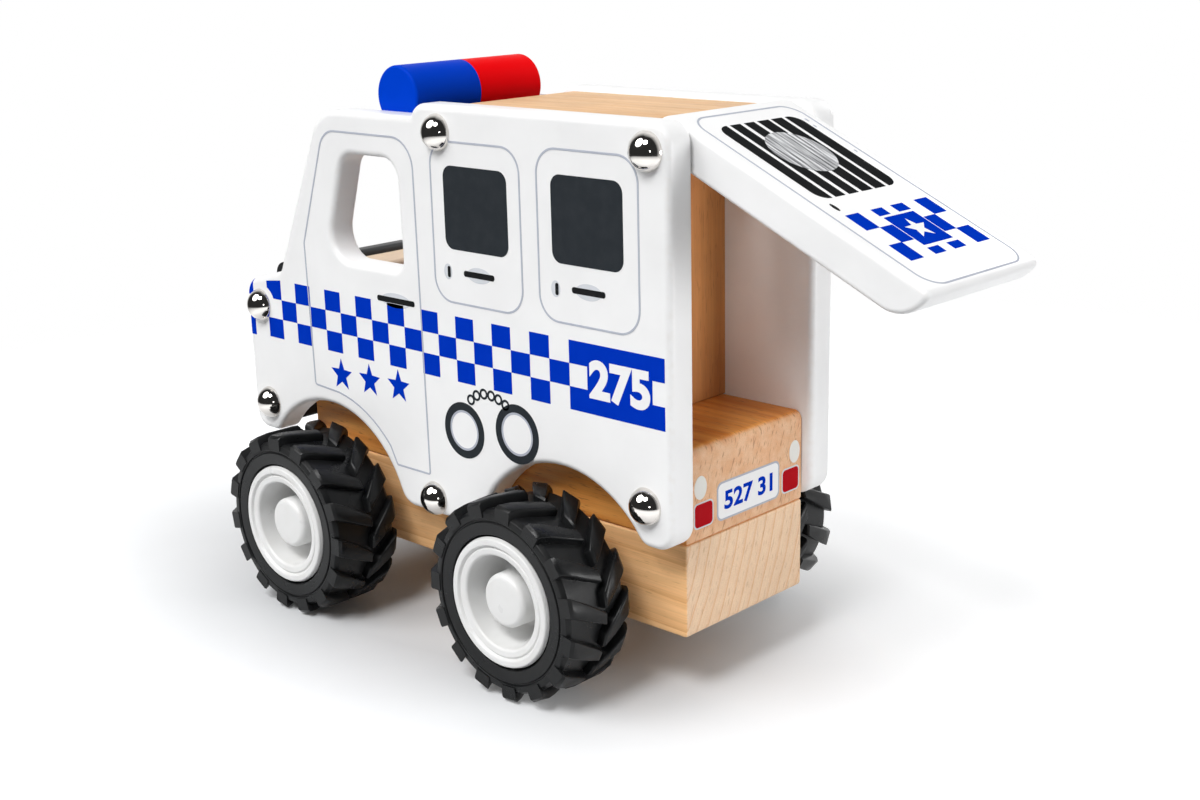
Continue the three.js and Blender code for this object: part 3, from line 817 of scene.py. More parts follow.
# Side panels
for side, sign in SIDES.items():
    across = sorted((sign * PANEL_INNER, sign * PANEL_OUTER))
    openings = [rounded(CAB_WINDOW)]
    mesh = board(side + "_panel", panel_outline(), openings, *across, PANEL_EDGE_ROUND, side_view)
    finish_piece("painted_panel_" + side, mesh, WHITE_PAINT, "van_body", "white_paint", side + "_side_panel")


# Wood between the panels

def block_mesh(node_name):
    """A block that fills its solid's box, rounded by its own radii."""
    corners, edge_round = BLOCK_ROUNDS[node_name]
    low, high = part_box(node_name)
    left, right = (low.x - NOSE) / MM, (high.x - NOSE) / MM
    bottom, top = low.z / MM, high.z / MM
    spots = [(left, bottom), (right, bottom), (right, top), (left, top)]
    outline = rounded([(x, z, radius) for (x, z), radius in zip(spots, corners)])
    return board(node_name, outline, [], low.y / MM, high.y / MM, edge_round, side_view)


for name, replaced, material, slot in (
    ("beech_chassis", "chassis_beam", CHASSIS_BEECH, "pale_beech"),
    ("beech_floor", "floor_block", FLOOR_BEECH, "beech"),
    ("beech_roof", "roof_board", ROOF_BEECH, "beech"),
    ("beech_bulkhead", "bulkhead", SHADED_BULKHEAD_BEECH, "beech"),
    ("beech_bonnet", "bonnet_board", BONNET_BEECH, "pale_beech"),
):
    finish_piece(name, block_mesh(replaced), material, "van_body", slot, replaced)

# Light bar
bar_low, bar_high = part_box("light_bar_blue")
bar_x = ((bar_low.x + bar_high.x) / 2 - NOSE) / MM
bar_z = (bar_low.z + bar_high.z) / 2 / MM
bar_profile = rounded([
    (0, 0, 0),
    (LIGHT_BAR_RADIUS, 0, LIGHT_BAR_MEETING_ROUND),
    (LIGHT_BAR_RADIUS, PANEL_INNER, LIGHT_BAR_END_ROUND),
    (0, PANEL_INNER, 0),
])
for colour, sign, material in (("blue", -1, BLUE_PAINT), ("red", 1, RED_PAINT)):
    mesh = turned("bar_" + colour, bar_profile, lambda x, y, z: bench(bar_x + x, sign * y, bar_z + z))
    replaced = "light_bar_" + colour
    finish_piece("light_dowel_" + colour, mesh, material, "van_body", colour + "_paint", replaced)

# Chrome screws
dome_sphere = (DOME_RADIUS ** 2 + DOME_HEIGHT ** 2) / (2 * DOME_HEIGHT)
dome_sweep = math.asin(DOME_RADIUS / dome_sphere)
dome_profile = [(0, SHANK_END), (SHANK_RADIUS, SHANK_END), (SHANK_RADIUS, 0)]
for i in range(DOME_STEPS):
    turn = math.pi / 2 - dome_sweep * (1 - i / DOME_STEPS)
    rise = DOME_HEIGHT - dome_sphere + dome_sphere * math.sin(turn)
    dome_profile.append((dome_sphere * math.cos(turn), rise))
dome_profile.append((0, DOME_HEIGHT))
for node_name in sorted(frame["nodes"]):
    if not node_name.startswith("screw_"):
        continue
    low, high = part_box(node_name)
    _, side, site = node_name.split("_", 2)
    sign = SIDES[side]
    head = Vector(((low.x + high.x) / 2, sign * PANEL_OUTER * MM, (low.z + high.z) / 2))
    mesh = turned("dome", dome_profile, lambda x, y, z: head + Vector((x, sign * y, z)) * MM, DOME_SIDES)
    finish_piece("chrome_" + side + "_" + site, mesh, CHROME, "van_body", "chrome", node_name)

# Grille board
grille_front = (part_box("grille_board")[0].x - NOSE) / MM
grille_cut = (grille_front - GRILLE_CUT, grille_front + GRILLE_CUT)
slot_end = GRILLE_SLOT_LENGTH / 2
form = bmesh.new()
for row in range(GRILLE_SLOTS):
    middle = GRILLE_SLOT_LOWEST + GRILLE_SLOT_PITCH * row
    low, high = middle - GRILLE_SLOT_HEIGHT / 2, middle + GRILLE_SLOT_HEIGHT / 2
    opening = rounded_box(-slot_end, slot_end, low, high, GRILLE_SLOT_ROUND)
    add_board(form, opening, [], *grille_cut, 0, end_view)
for sign in SIDES.values():
    opening = oval(sign * HEADLAMP_SPREAD, HEADLAMP_HEIGHT, HEADLAMP_RADIUS, HEADLAMP_RADIUS)
    add_board(form, opening, [], *grille_cut, 0, end_view)
grille = combined("grille_cut", block_mesh("grille_board"), mesh_of("grille_cutters", form), "DIFFERENCE")
finish_piece("black_grille", grille, BLACK_PAINT, "van_body", "black_paint", "grille_board")
for side, sign in SIDES.items():
    lamp_y = sign * HEADLAMP_SPREAD
    in_lamp = lambda x, along, z: bench(grille_front + along, lamp_y + x, HEADLAMP_HEIGHT + z)
    mesh = turned("headlamp", rounded(HEADLAMP_LENS), in_lamp, DOME_SIDES)
    finish_piece("headlamp_" + side, mesh, PEARL_INK, "van_body", "white_plastic")

# Tailgate
hinge = JOINTS["tailgate_hinge"]
pivot = Vector(hinge["pos_m"])
droop = math.radians(-hinge["range_deg"][0])
board_along = Vector((math.cos(droop), 0, -math.sin(droop)))
board_out = Vector((math.sin(droop), 0, math.cos(droop)))


def tailgate_view(along, out, y):
    """A point of the tailgate at rest, drawn from the side."""
    return pivot + (board_along * along + board_out * out) * MM + Vector((0, y * MM, 0))


heel = (TAILGATE_HEEL_X, (TAILGATE_OUTER + TAILGATE_INNER) / 2)
inner_start = (TAILGATE_HEEL_X, TAILGATE_INNER)
inner_end = (TAILGATE_REACH - TAILGATE_END_SLOPE, TAILGATE_INNER)
outer_end = (TAILGATE_REACH, TAILGATE_OUTER)
outline = arc(*heel, TAILGATE_HEEL_RADIUS, UPWARDS, DOWNWARDS)
outline += corner(inner_start, inner_end, outer_end, TAILGATE_INNER_END_RADIUS)
outline += corner(inner_end, outer_end, (TAILGATE_HEEL_X, TAILGATE_OUTER), TAILGATE_OUTER_END_RADIUS)
across = (-TAILGATE_HALF_WIDTH, TAILGATE_HALF_WIDTH)
mesh = board("tailgate", outline, [], *across, TAILGATE_EDGE_ROUND, tailgate_view)
finish_piece("painted_tailgate", mesh, WHITE_PAINT, "tailgate_leaf", "white_paint", "tailgate")


# Wheels, drawn about their own axle with the outer side towards -y

# Profiles of (radius, along the axle, corner radius)
TYRE_PROFILE = [
    (18.2, -9.9, 0.2), (20.0, -10.9, 0.2), (20.0, -12.0, 0.3), (23.7, -12.3, 0.25), (23.9, -11.8, 0.15),
    (24.3, -11.8, 0.15), (24.5, -12.4, 0.35), (26.4, -12.2, 0.5), (27.2, -10.8, 1.0), (27.2, 10.4, 1.4),
    (25.4, 12.2, 1.2), (19.4, 12.1, 0.4), (18.2, 10.3, 0.2),
]
RIM_PROFILE = [
    (2.02, 3.0, 0), (12.6, 3.0, 1.5), (14.2, -12.1, 1.0), (16.3, -12.3, 0.4), (16.8, -11.7, 0.25),
    (17.4, -12.8, 0.5), (19.3, -12.8, 0.7), (19.8, -11.3, 0.3), (18.0, -10.2, 0.2), (18.0, 10.5, 0.2),
    (19.0, 12.0, 0.3), (15.5, 12.0, 0.5), (14.0, 7.0, 0.5), (6.0, 7.0, 0.5), (6.0, 20.9, 0.5),
    (2.02, 20.9, 0),
]
CAP_PROFILE = [(0, -11.0, 0), (8.2, -10.8, 1.8), (8.5, 3.0, 0), (0, 3.0, 0)]
# Sections of a lug (across, along, width, top, root), from its tip to the shoulder
OUTER_LUG = [
    (1.2, 7.1, 3.4, 29.4, 25.5),
    (0.7, 6.8, 3.7, 30.0, 25.5),
    (-4.0, 4.3, 4.7, 30.0, 25.5),
    (-8.6, 1.8, 5.2, 30.0, 25.5),
    (-11.8, 0.2, 5.7, 29.6, 25.3),
    (-12.6, 0.0, 5.8, 28.8, 25.0),
]
INNER_LUG = [
    (-0.8, 7.9, 4.4, 29.4, 25.5),
    (-1.3, 7.4, 4.8, 30.0, 25.5),
    (-5.0, 3.8, 6.0, 30.0, 25.5),
    (-9.6, -0.7, 6.4, 30.0, 25.5),
    (-11.4, -1.6, 6.6, 28.8, 25.2),
    (-12.4, -2.0, 6.6, 27.6, 24.8),
]
# Rounding of a lug's flank, as (out from half its width, down from its top)
LUG_FLANK = [(0.1, 0.5), (-0.12, 0.14), (-0.45, 0)]
# How far round each wheel has rolled, in lugs
WHEEL_TURNS = {
    ("front", "left"): -0.1,
    ("rear", "left"): 0.5,
    ("front", "right"): 0.3,
    ("rear", "right"): 0.15,
}


def add_lug(form, side, angle, sections):
    """One tread lug, wrapped round the carcass at an angle."""
    rings = []
    for across, along, width, top, root in sections:
        wide = width / 2
        flank = [(wide + LUG_ROOT_SPREAD, root)] + [(wide + out, top - down) for out, down in LUG_FLANK]
        ring = []
        for offset, radius in flank + [(-offset, radius) for offset, radius in reversed(flank)]:
            turn = angle - (along + offset) / LUG_RADIUS
            ring.append(form.verts.new((radius * math.cos(turn), -side * across, radius * math.sin(turn))))
        rings.append(ring)
    for lower, upper in zip(rings, rings[1:]):
        for i in range(len(lower)):
            form.faces.new((lower[i - 1], lower[i], upper[i], upper[i - 1]))
    form.faces.new(rings[0])
    form.faces.new(rings[-1])


def tyre_mesh():
    """The carcass with both rows of lugs."""
    carcass = turned("carcass", rounded(TYRE_PROFILE), wheel_view, TYRE_SIDES, closed=True)
    form = bmesh.new()
    pitch = math.tau / LUGS_PER_SIDE
    for i in range(LUGS_PER_SIDE):
        add_lug(form, -1, i * pitch, OUTER_LUG)
        add_lug(form, 1, (i + 0.5) * pitch, INNER_LUG)
    tyre = combined("tyre", carcass, mesh_of("lugs", form), "UNION")
    tyre.transform(Matrix.Diagonal((TYRE_FULLNESS, 1, TYRE_FULLNESS, 1)))
    return tyre


WHEEL_FORMS = {
    "tyre": (tyre_mesh(), RUBBER, "tyre_rubber"),
    "rim": (turned("rim", rounded(RIM_PROFILE), wheel_view, closed=True), WHITE_PLASTIC, "white_plastic"),
    "hub_cap": (turned("cap", rounded(CAP_PROFILE), wheel_view, CAP_SIDES), WHITE_PLASTIC, "white_plastic"),
}
for end in ("front", "rear"):
    body = end + "_wheels"
    axle = Vector(JOINTS[end + "_axle_spin"]["pos_m"])
    for side, sign in SIDES.items():
        rolled = Matrix.Rotation(-WHEEL_TURNS[end, side] * math.tau / LUGS_PER_SIDE, 4, "Y")
        turn = Matrix.Rotation(0 if side == "left" else math.pi, 4, "Z") @ rolled
        seat = Matrix.Translation(axle + Vector((0, sign * WHEEL_MID_PLANE * MM, 0)))
        for form_name, (shape, material, slot) in WHEEL_FORMS.items():
            mesh = shape.copy()
            mesh.transform(seat @ turn @ Matrix.Scale(MM, 4))
            replaced = "_".join((form_name, end, side))
            finish_piece("moulded_" + replaced, mesh, material, body, slot, replaced)
    replaced = end + "_axle"
    low, high = (point.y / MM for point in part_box(replaced))
    rod_profile = rounded([
        (0, low, 0), (AXLE_RADIUS, low, AXLE_END_ROUND), (AXLE_RADIUS, high, AXLE_END_ROUND), (0, high, 0),
    ])
    on_axle = lambda x, y, z: axle + Vector((x, y, z)) * MM - Vector((0, axle.y, 0))
    mesh = turned("rod", rod_profile, on_axle, ROD_SIDES)
    finish_piece("steel_" + replaced, mesh, STEEL, body, "steel", replaced)


# Prints

FIGURE_FINENESS = 6
FIGURE_DEPTH = 0.5
LINE_WIDTH = 0.6


def print_piece(name, shapes, place, material, slot, body="van_body", lift=PRINT_LIFT):
    """A print from outlines, each (outline, holes), a hair thick on the face that place gives."""
    form = bmesh.new()
    for outline, holes in shapes:
        add_board(form, outline, holes, PRINT_SINK, lift, 0, place)
    finish_piece(name, mesh_of(name, form), material, body, slot)


def filled(outlines):
    """Outlines that have no holes."""
    return [(outline, []) for outline in outlines]


def line(loop, width):
    """A closed line of a width, as an outline with a hole."""
    loop = cleaned(loop)
    return inset(loop, -width / 2), [inset(loop, width / 2)]


def ring(x, z, outer, inner):
    """A round line, as an outline with a hole."""
    return oval(x, z, outer, outer), [oval(x, z, inner, inner)]


def trimmed_box(left, right, low, high, trim, radius):
    """A rectangle made smaller all round."""
    return rounded_box(left + trim, right - trim, low + trim, high - trim, radius)


def figure_mesh(text, width, height, weight):
    """Plain figures fitted to a width and height, about the middle."""
    curve = bpy.data.curves.new("figures", "FONT")
    curve.body = text
    curve.offset = weight
    curve.resolution_u = FIGURE_FINENESS
    curve.extrude = FIGURE_DEPTH
    holder = object_of("figures", curve)
    bpy.context.view_layer.update()
    mesh = bpy.data.meshes.new_from_object(holder.evaluated_get(bpy.context.evaluated_depsgraph_get()))
    bpy.data.objects.remove(holder)
    low = [min(vert.co[i] for vert in mesh.vertices) for i in range(2)]
    high = [max(vert.co[i] for vert in mesh.vertices) for i in range(2)]
    for vert in mesh.vertices:
        vert.co.x = ((vert.co.x - low[0]) / (high[0] - low[0]) - 0.5) * width
        vert.co.y = ((vert.co.y - low[1]) / (high[1] - low[1]) - 0.5) * height
    return mesh


def print_figures(name, text, size, weight, place, material, slot, lift):
    """Printed figures of a size, on the face that place gives."""
    mesh = figure_mesh(text, *size, weight)
    for vert in mesh.vertices:
        vert.co = place(vert.co.x, vert.co.y, lift if vert.co.z > 0 else PRINT_SINK)
    form = bmesh.new()
    form.from_mesh(mesh)
    bmesh.ops.remove_doubles(form, verts=form.verts, dist=WELD_REACH)
    finish_piece(name, mesh_of(name, form), material, "van_body", slot)


# Checks on the side panels
CHECK_X = 12.0
CHECK_LENGTH = 8.0
CHECK_LOW = 84.4
CHECK_HEIGHT = 6.82
CHECK_ROWS = 3
CHECK_COLUMNS = 18
CHECK_GAP = 0.02
NOSE_CLEARING = (9.4, 95.6, 6.42)
NOSE_CHECK_SLOPE = 1.0
WRAP_START = 0.2
WRAP_STEPS = 6
STRIP_DROP = 0.6
NOSE_WEDGE = [176, 168, 160, 152, 144, 136, 128, 121, 114.5]
NUMBER_BOX = (156.0, 192.0)
NUMBER_NOTCHES = (163.0, 187.5)
NUMBER_MIDDLE = (175.2, 94.6)
NUMBER_SIZE = (23.0, 11.8)
NUMBER_WEIGHT = 0.045


def nose_check():
    """The topmost check behind the nose screw, white round the screw and cut along the bonnet."""
    left, right = CHECK_X + CHECK_GAP, CHECK_X + CHECK_LENGTH - CHECK_GAP
    low = CHECK_LOW + (CHECK_ROWS - 1) * CHECK_HEIGHT + CHECK_GAP
    high = CHECK_LOW + CHECK_ROWS * CHECK_HEIGHT - CHECK_GAP
    clear_x, clear_z, clear_radius = NOSE_CLEARING
    start = math.acos((left - clear_x) / clear_radius)
    end = math.asin((low - clear_z) / clear_radius)
    points = arc(clear_x, clear_z, clear_radius, start, end)
    return points + [(right, low), (right, high), (left, high - NOSE_CHECK_SLOPE)]


def check_band():
    """Rows of checks in alternate columns."""
    checks = [nose_check()]
    for column in range(CHECK_COLUMNS):
        left = CHECK_X + column * CHECK_LENGTH
        for row in range(CHECK_ROWS):
            if (row + column) % 2 == 0 and (row, column) != (CHECK_ROWS - 1, 0):
                low = CHECK_LOW + row * CHECK_HEIGHT
                box = (left, left + CHECK_LENGTH, low, low + CHECK_HEIGHT)
                checks.append(trimmed_box(*box, CHECK_GAP, 0))
    return checks


def add_wrapped(form, rows, sign):
    """Ink round a panel's edge: rows of (edge point, inward way, nearest depth, furthest depth)."""
    layers = []
    for lift in (PRINT_SINK, PRINT_LIFT):
        reach = PANEL_EDGE_ROUND + lift
        grid = []
        for (x, z), (in_x, in_z), near, far in rows:
            across_edge = []
            for i in range(WRAP_STEPS + 1):
                depth = near + (far - near) * i / WRAP_STEPS
                turn = math.acos(max(0, 1 - depth / PANEL_EDGE_ROUND))
                inward = max(depth, PANEL_EDGE_ROUND) - reach * math.cos(turn)
                y = PANEL_OUTER - PANEL_EDGE_ROUND + reach * math.sin(turn)
                across_edge.append(form.verts.new(bench(x + in_x * inward, sign * y, z + in_z * inward)))
            grid.append(across_edge)
        layers.append(grid)
    for grid in layers:
        for a, b in zip(grid, grid[1:]):
            for i in range(WRAP_STEPS):
                form.faces.new((a[i], a[i + 1], b[i + 1], b[i]))
    low, high = layers
    rims = [
        (low[0], high[0]),
        (low[-1], high[-1]),
        ([row[0] for row in low], [row[0] for row in high]),
        ([row[-1] for row in low], [row[-1] for row in high]),
    ]
    for lower, upper in rims:
        for i in range(len(lower) - 1):
            form.faces.new((lower[i], lower[i + 1], upper[i + 1], upper[i]))


def nose_wraps():
    """The two checks that run round the nose: a strip below the screw and a wedge above it."""
    bottom, top = CHECK_LOW - STRIP_DROP, CHECK_LOW + CHECK_HEIGHT - CHECK_GAP
    edge = CHECK_X - CHECK_LENGTH
    strip = [((0, z), (1, 0), WRAP_START, edge) for z in (bottom, top)]
    points = corner(BONNET_END, NOSE_TOP, (0, NOSE_FOOT), NOSE_TOP_RADIUS)
    middle_x, middle_z = NOSE_TOP_RADIUS, points[-1][1]
    wedge = []
    for degrees in NOSE_WEDGE:
        way = (-math.cos(math.radians(degrees)), -math.sin(math.radians(degrees)))
        rim = (middle_x - NOSE_TOP_RADIUS * way[0], middle_z - NOSE_TOP_RADIUS * way[1])
        wedge.append((rim, way, WRAP_START, (edge - rim[0]) / way[0]))
    return strip, wedge


def number_box():
    """The blue box behind the number, notched on both sides in its middle row."""
    low, notch_low, notch_high, high = (CHECK_LOW + row * CHECK_HEIGHT for row in range(CHECK_ROWS + 1))
    left, right = NUMBER_BOX
    notch_left, notch_right = NUMBER_NOTCHES
    return [
        (left, low), (right, low), (right, notch_low), (notch_right, notch_low),
        (notch_right, notch_high), (right, notch_high), (right, high), (left, high),
        (left, notch_high), (notch_left, notch_high), (notch_left, notch_low), (left, notch_low),
    ]


# Doors, windows, handles and rings on the side panels
DOOR_LOW_REAR = (92.8, 51.4)
DOOR_LOW_REAR_RADIUS = 0.8
DOOR_HIGH_REAR = (91.8, 157.1)
DOOR_HIGH_REAR_RADIUS = 9.5
DOOR_HIGH_FRONT = (48.7, 157.1)
DOOR_HIGH_FRONT_RADIUS = 8.0
DOOR_BELT_FRONT = (35, 119.4)
DOOR_BELT_FRONT_RADIUS = 4.0
DOOR_LOW_FRONT = (36, 71.4)
DOOR_FOOT_RADIUS = 1.0
DOOR_ARCH_FRONT = (45, 71.4)
DOOR_ARCH_REAR = (72, 56.4)
DOOR_ARCH_FOOT = (77, 51.4)
DOOR_ARCH_HEIGHT = 28.9
DOOR_ARCH_RADIUS = 42.2
DOOR_ARCH_SWEEP = (math.radians(82), math.radians(42))
BOX_DOORS = [rounded_box(100, 138, 109.1, 157.4, 7.5), rounded_box(145, 183.3, 109.4, 158.4, 7.5)]
BOX_WINDOWS = [rounded_box(105.5, 132.7, 125.4, 150.4, 3.5), rounded_box(150.5, 177.7, 126.4, 151.4, 3.5)]
# Handles (x, z, half length), each a bar on a rounder plate
HANDLES = [(80.5, 105.9, 9.0), (119.6, 118.6, 6.6), (164.3, 119.4, 6.4)]
HANDLE_PLATE_SHARE = 0.78
HANDLE_PLATE_HALF_HEIGHT = 2.35
HANDLE_BAR_HALF_HEIGHT = 0.9
HANDLE_BAR_ROUND = 0.8
KEYHOLES = [(106.0, 118.4), (151.5, 118.9)]
KEYHOLE_PLATE = (1.8, 2.4)
KEYHOLE_BAR = (-0.15, 1.15)
KEYHOLE_BAR_HALF_HEIGHT = 1.75
KEYHOLE_BAR_ROUND = 0.6
DOOR_STARS = [(50.5, 77.0), (65.0, 77.5), (79.5, 78.0)]
DOOR_STAR_RADIUS = 5.6
# Rings (x, z, radius) and the small links between them
RINGS = [(110.0, 69.2, 8.9), (133.4, 72.4, 9.2)]
RING_WIDTH = 2.5
RING_SHADE = (1.8, 3.2)
LINKS = [(113.6, 79.6), (116.2, 81.4), (119.4, 82.4), (122.7, 82.4), (125.8, 81.8), (128.8, 80.6)]
LINK_OUTER = 1.7
LINK_INNER = 1.0


def cab_door():
    """Outline of the cab door, with its foot following the wheel arch."""
    points = corner(DOOR_LOW_REAR, DOOR_HIGH_REAR, DOOR_HIGH_FRONT, DOOR_HIGH_REAR_RADIUS)
    points += corner(DOOR_HIGH_REAR, DOOR_HIGH_FRONT, DOOR_BELT_FRONT, DOOR_HIGH_FRONT_RADIUS)
    points += corner(DOOR_HIGH_FRONT, DOOR_BELT_FRONT, DOOR_LOW_FRONT, DOOR_BELT_FRONT_RADIUS)
    points += corner(DOOR_BELT_FRONT, DOOR_LOW_FRONT, DOOR_ARCH_FRONT, DOOR_FOOT_RADIUS)
    points += arc(FRONT_ARCH_X, DOOR_ARCH_HEIGHT, DOOR_ARCH_RADIUS, *DOOR_ARCH_SWEEP)
    points += corner(DOOR_ARCH_REAR, DOOR_ARCH_FOOT, DOOR_LOW_REAR, DOOR_FOOT_RADIUS)
    points += corner(DOOR_ARCH_FOOT, DOOR_LOW_REAR, DOOR_HIGH_REAR, DOOR_LOW_REAR_RADIUS)
    return points


def handle_plates():
    """Pale plates behind the handles and the keyholes."""
    plates = [oval(x, z, HANDLE_PLATE_SHARE * half, HANDLE_PLATE_HALF_HEIGHT) for x, z, half in HANDLES]
    return plates + [oval(x, z, *KEYHOLE_PLATE) for x, z in KEYHOLES]


def handle_bars():
    """Dark bars of the handles and the keyholes."""
    bars = []
    for x, z, half in HANDLES:
        low, high = z - HANDLE_BAR_HALF_HEIGHT, z + HANDLE_BAR_HALF_HEIGHT
        bars.append(rounded_box(x - half, x + half, low, high, HANDLE_BAR_ROUND))
    for x, z in KEYHOLES:
        low, high = z - KEYHOLE_BAR_HALF_HEIGHT, z + KEYHOLE_BAR_HALF_HEIGHT
        bars.append(rounded_box(x + KEYHOLE_BAR[0], x + KEYHOLE_BAR[1], low, high, KEYHOLE_BAR_ROUND))
    return bars


DOOR_LINES = [line(loop, LINE_WIDTH) for loop in [cab_door()] + BOX_DOORS]
STARS = [star(x, z, DOOR_STAR_RADIUS) for x, z in DOOR_STARS]
SHADES = [ring(x, z, radius - RING_SHADE[0], radius - RING_SHADE[1]) for x, z, radius in RINGS]
RING_LINKS = [ring(x, z, radius, radius - RING_WIDTH) for x, z, radius in RINGS]
RING_LINKS += [ring(x, z, LINK_OUTER, LINK_INNER) for x, z in LINKS]
for side, sign in SIDES.items():
    on_panel = lambda x, z, lift: bench(x, sign * (PANEL_OUTER + lift), z)
    in_box = lambda x, z, lift: on_panel(NUMBER_MIDDLE[0] - sign * x, NUMBER_MIDDLE[1] + z, lift)
    prefix = side + "_"
    print_piece(prefix + "check_band", filled(check_band()), on_panel, BLUE_INK, "blue_paint")
    form = bmesh.new()
    for rows in nose_wraps():
        add_wrapped(form, rows, sign)
    mesh = mesh_of(prefix + "nose_checks", form)
    finish_piece(prefix + "nose_checks", mesh, BLUE_INK, "van_body", "blue_paint")
    print_piece(prefix + "number_box", filled([number_box()]), on_panel, BLUE_INK, "blue_paint")
    number = (prefix + "number", "275", NUMBER_SIZE, NUMBER_WEIGHT)
    print_figures(*number, in_box, WHITE_INK, "white_paint", OVERPRINT_LIFT)
    print_piece(prefix + "door_lines", DOOR_LINES, on_panel, LINE_INK, "white_paint", lift=OVERPRINT_LIFT)
    print_piece(prefix + "dark_windows", filled(BOX_WINDOWS), on_panel, DARK_INK, "black_paint")
    print_piece(prefix + "handle_plates", filled(handle_plates()), on_panel, PALE_INK, "white_paint")
    bars = filled(handle_bars())
    print_piece(prefix + "handle_bars", bars, on_panel, BLACK_INK, "black_paint", lift=OVERPRINT_LIFT)
    print_piece(prefix + "door_stars", filled(STARS), on_panel, BLUE_INK, "blue_paint")
    print_piece(prefix + "ring_shade", SHADES, on_panel, LINE_INK, "white_paint")
    print_piece(prefix + "ring_links", RING_LINKS, on_panel, DARK_INK, "black_paint", lift=OVERPRINT_LIFT)

# Tailgate prints, along the board from its pin and to the van's right
VENT_BARS = [(-17.0, -12.5), (-11.0, -6.7), (-5.0, -0.7), (0.9, 5.7), (7.0, 11.8), (13.3, 18.2)]
VENT_REACH = (4.5, 43)
VENT_ROUND = 4.0
LEAF_LINE = rounded_box(-1, 83.5, -22, 22.5, 6)
LEAF_CHECKS = [
    (51, 58.4, -17.2, -11.5), (65.6, 73, -17.2, -11.5), (58.4, 65.8, -11.5, -6),
    (51, 54.3, -6, -1), (51, 54.3, 3, 8.5), (70, 73, -6, -1), (70, 73, 3, 8.5),
    (58.4, 65.8, 8.5, 14), (51, 58.4, 14, 20), (65.6, 73, 14, 20), (55.2, 68.8, -5.6, 8.1),
]
LEAF_DISC = oval(21.5, 0.5, 10.5, 10.5)
LEAF_STAR_MIDDLE = (62, 1.25)
LEAF_STAR_RADIUS = 4.6
LEAF_LATCH = oval(47, -16.5, 1.8, 0.7)
LEAF_TICKS = [oval(7.5, 20, 0.9, 0.35), oval(11, 19.5, 0.7, 0.3), oval(25.5, 20.5, 0.7, 0.3)]


def vents():
    """Vent bars, the outer two rounded at their outer corners."""
    near, far = VENT_REACH
    bars = []
    for i, (left, right) in enumerate(VENT_BARS):
        left_round = VENT_ROUND if i == 0 else 0
        right_round = VENT_ROUND if i == len(VENT_BARS) - 1 else 0
        left_corners = [(near, left, left_round), (far, left, left_round)]
        bars.append(rounded(left_corners + [(far, right, right_round), (near, right, right_round)]))
    return bars


def on_leaf(along, y, lift):
    """A point on the outer face of the tailgate."""
    return tailgate_view(along, TAILGATE_OUTER + lift, y)


leaf_checks = [trimmed_box(*check, CHECK_GAP, 0) for check in LEAF_CHECKS]
leaf_star = [(LEAF_STAR_MIDDLE[0] - b, LEAF_STAR_MIDDLE[1] + a) for a, b in star(0, 0, LEAF_STAR_RADIUS)]
silver = streaked_silver((0, -droop, 0))
for name, shapes, material, slot, lift in (
    ("tailgate_line", [line(LEAF_LINE, LINE_WIDTH)], LINE_INK, "white_paint", PRINT_LIFT),
    ("tailgate_vents", filled(vents()), BLACK_INK, "black_paint", PRINT_LIFT),
    ("tailgate_disc", filled([LEAF_DISC]), silver, "white_paint", OVERPRINT_LIFT),
    ("tailgate_checks", filled(leaf_checks), BLUE_INK, "blue_paint", PRINT_LIFT),
    ("tailgate_star", filled([leaf_star]), WHITE_INK, "white_paint", OVERPRINT_LIFT),
    ("tailgate_latch", filled([LEAF_LATCH]), BLACK_INK, "black_paint", PRINT_LIFT),
    ("tailgate_ticks", filled(LEAF_TICKS), LINE_INK, "white_paint", PRINT_LIFT),
):
    print_piece(name, shapes, on_leaf, material, slot, "tailgate_leaf", lift)

# Lamps and number plate on the floor block's rear face
REVERSE_LAMPS = [oval(-21.0, 63.9, 2.7, 3.5), oval(23.0, 63.9, 2.5, 3.5)]
BRAKE_LAMPS = [(-24.0, -15.3, 51.7, 59.5), (16.8, 25.4, 51.7, 59.5)]
BRAKE_LAMP_BORDER = 0.45
BRAKE_LAMP_BORDER_RADIUS = 1.6
BRAKE_LAMP_RADIUS = 1.3
PLATE = (-13.7, 15.6, 51.4, 63.2)
PLATE_BORDER = 0.6
PLATE_BORDER_RADIUS = 2.2
PLATE_RADIUS = 1.8
PLATE_NUMBER_MIDDLE = (0.9, 57.2)
PLATE_NUMBER_SIZE = (22.6, 5.8)
PLATE_NUMBER_WEIGHT = 0.03
tail_x = (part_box("floor_block")[1].x - NOSE) / MM


def on_tail(y, z, lift):
    """A point on the rear face of the floor block."""
    return bench(tail_x + lift, y, z)


def on_plate(y, z, lift):
    """A point of the number plate, from the middle of its figures."""
    return on_tail(PLATE_NUMBER_MIDDLE[0] + y, PLATE_NUMBER_MIDDLE[1] + z, lift)


brake_borders = [rounded_box(*lamp, BRAKE_LAMP_BORDER_RADIUS) for lamp in BRAKE_LAMPS]
brake_lamps = [trimmed_box(*lamp, BRAKE_LAMP_BORDER, BRAKE_LAMP_RADIUS) for lamp in BRAKE_LAMPS]
plate_border = rounded_box(*PLATE, PLATE_BORDER_RADIUS)
plate = trimmed_box(*PLATE, PLATE_BORDER, PLATE_RADIUS)
for name, outlines, material, slot, lift in (
    ("reverse_lamps", REVERSE_LAMPS, PEARL_INK, "white_paint", TOP_LIFT),
    ("brake_lamp_borders", brake_borders, PALE_INK, "white_paint", PRINT_LIFT),
    ("brake_lamps", brake_lamps, RED_INK, "red_paint", OVERPRINT_LIFT),
    ("plate_border", [plate_border], LINE_INK, "white_paint", PRINT_LIFT),
    ("plate", [plate], WHITE_INK, "white_paint", PLATE_LIFT),
):
    print_piece(name, filled(outlines), on_tail, material, slot, lift=lift)
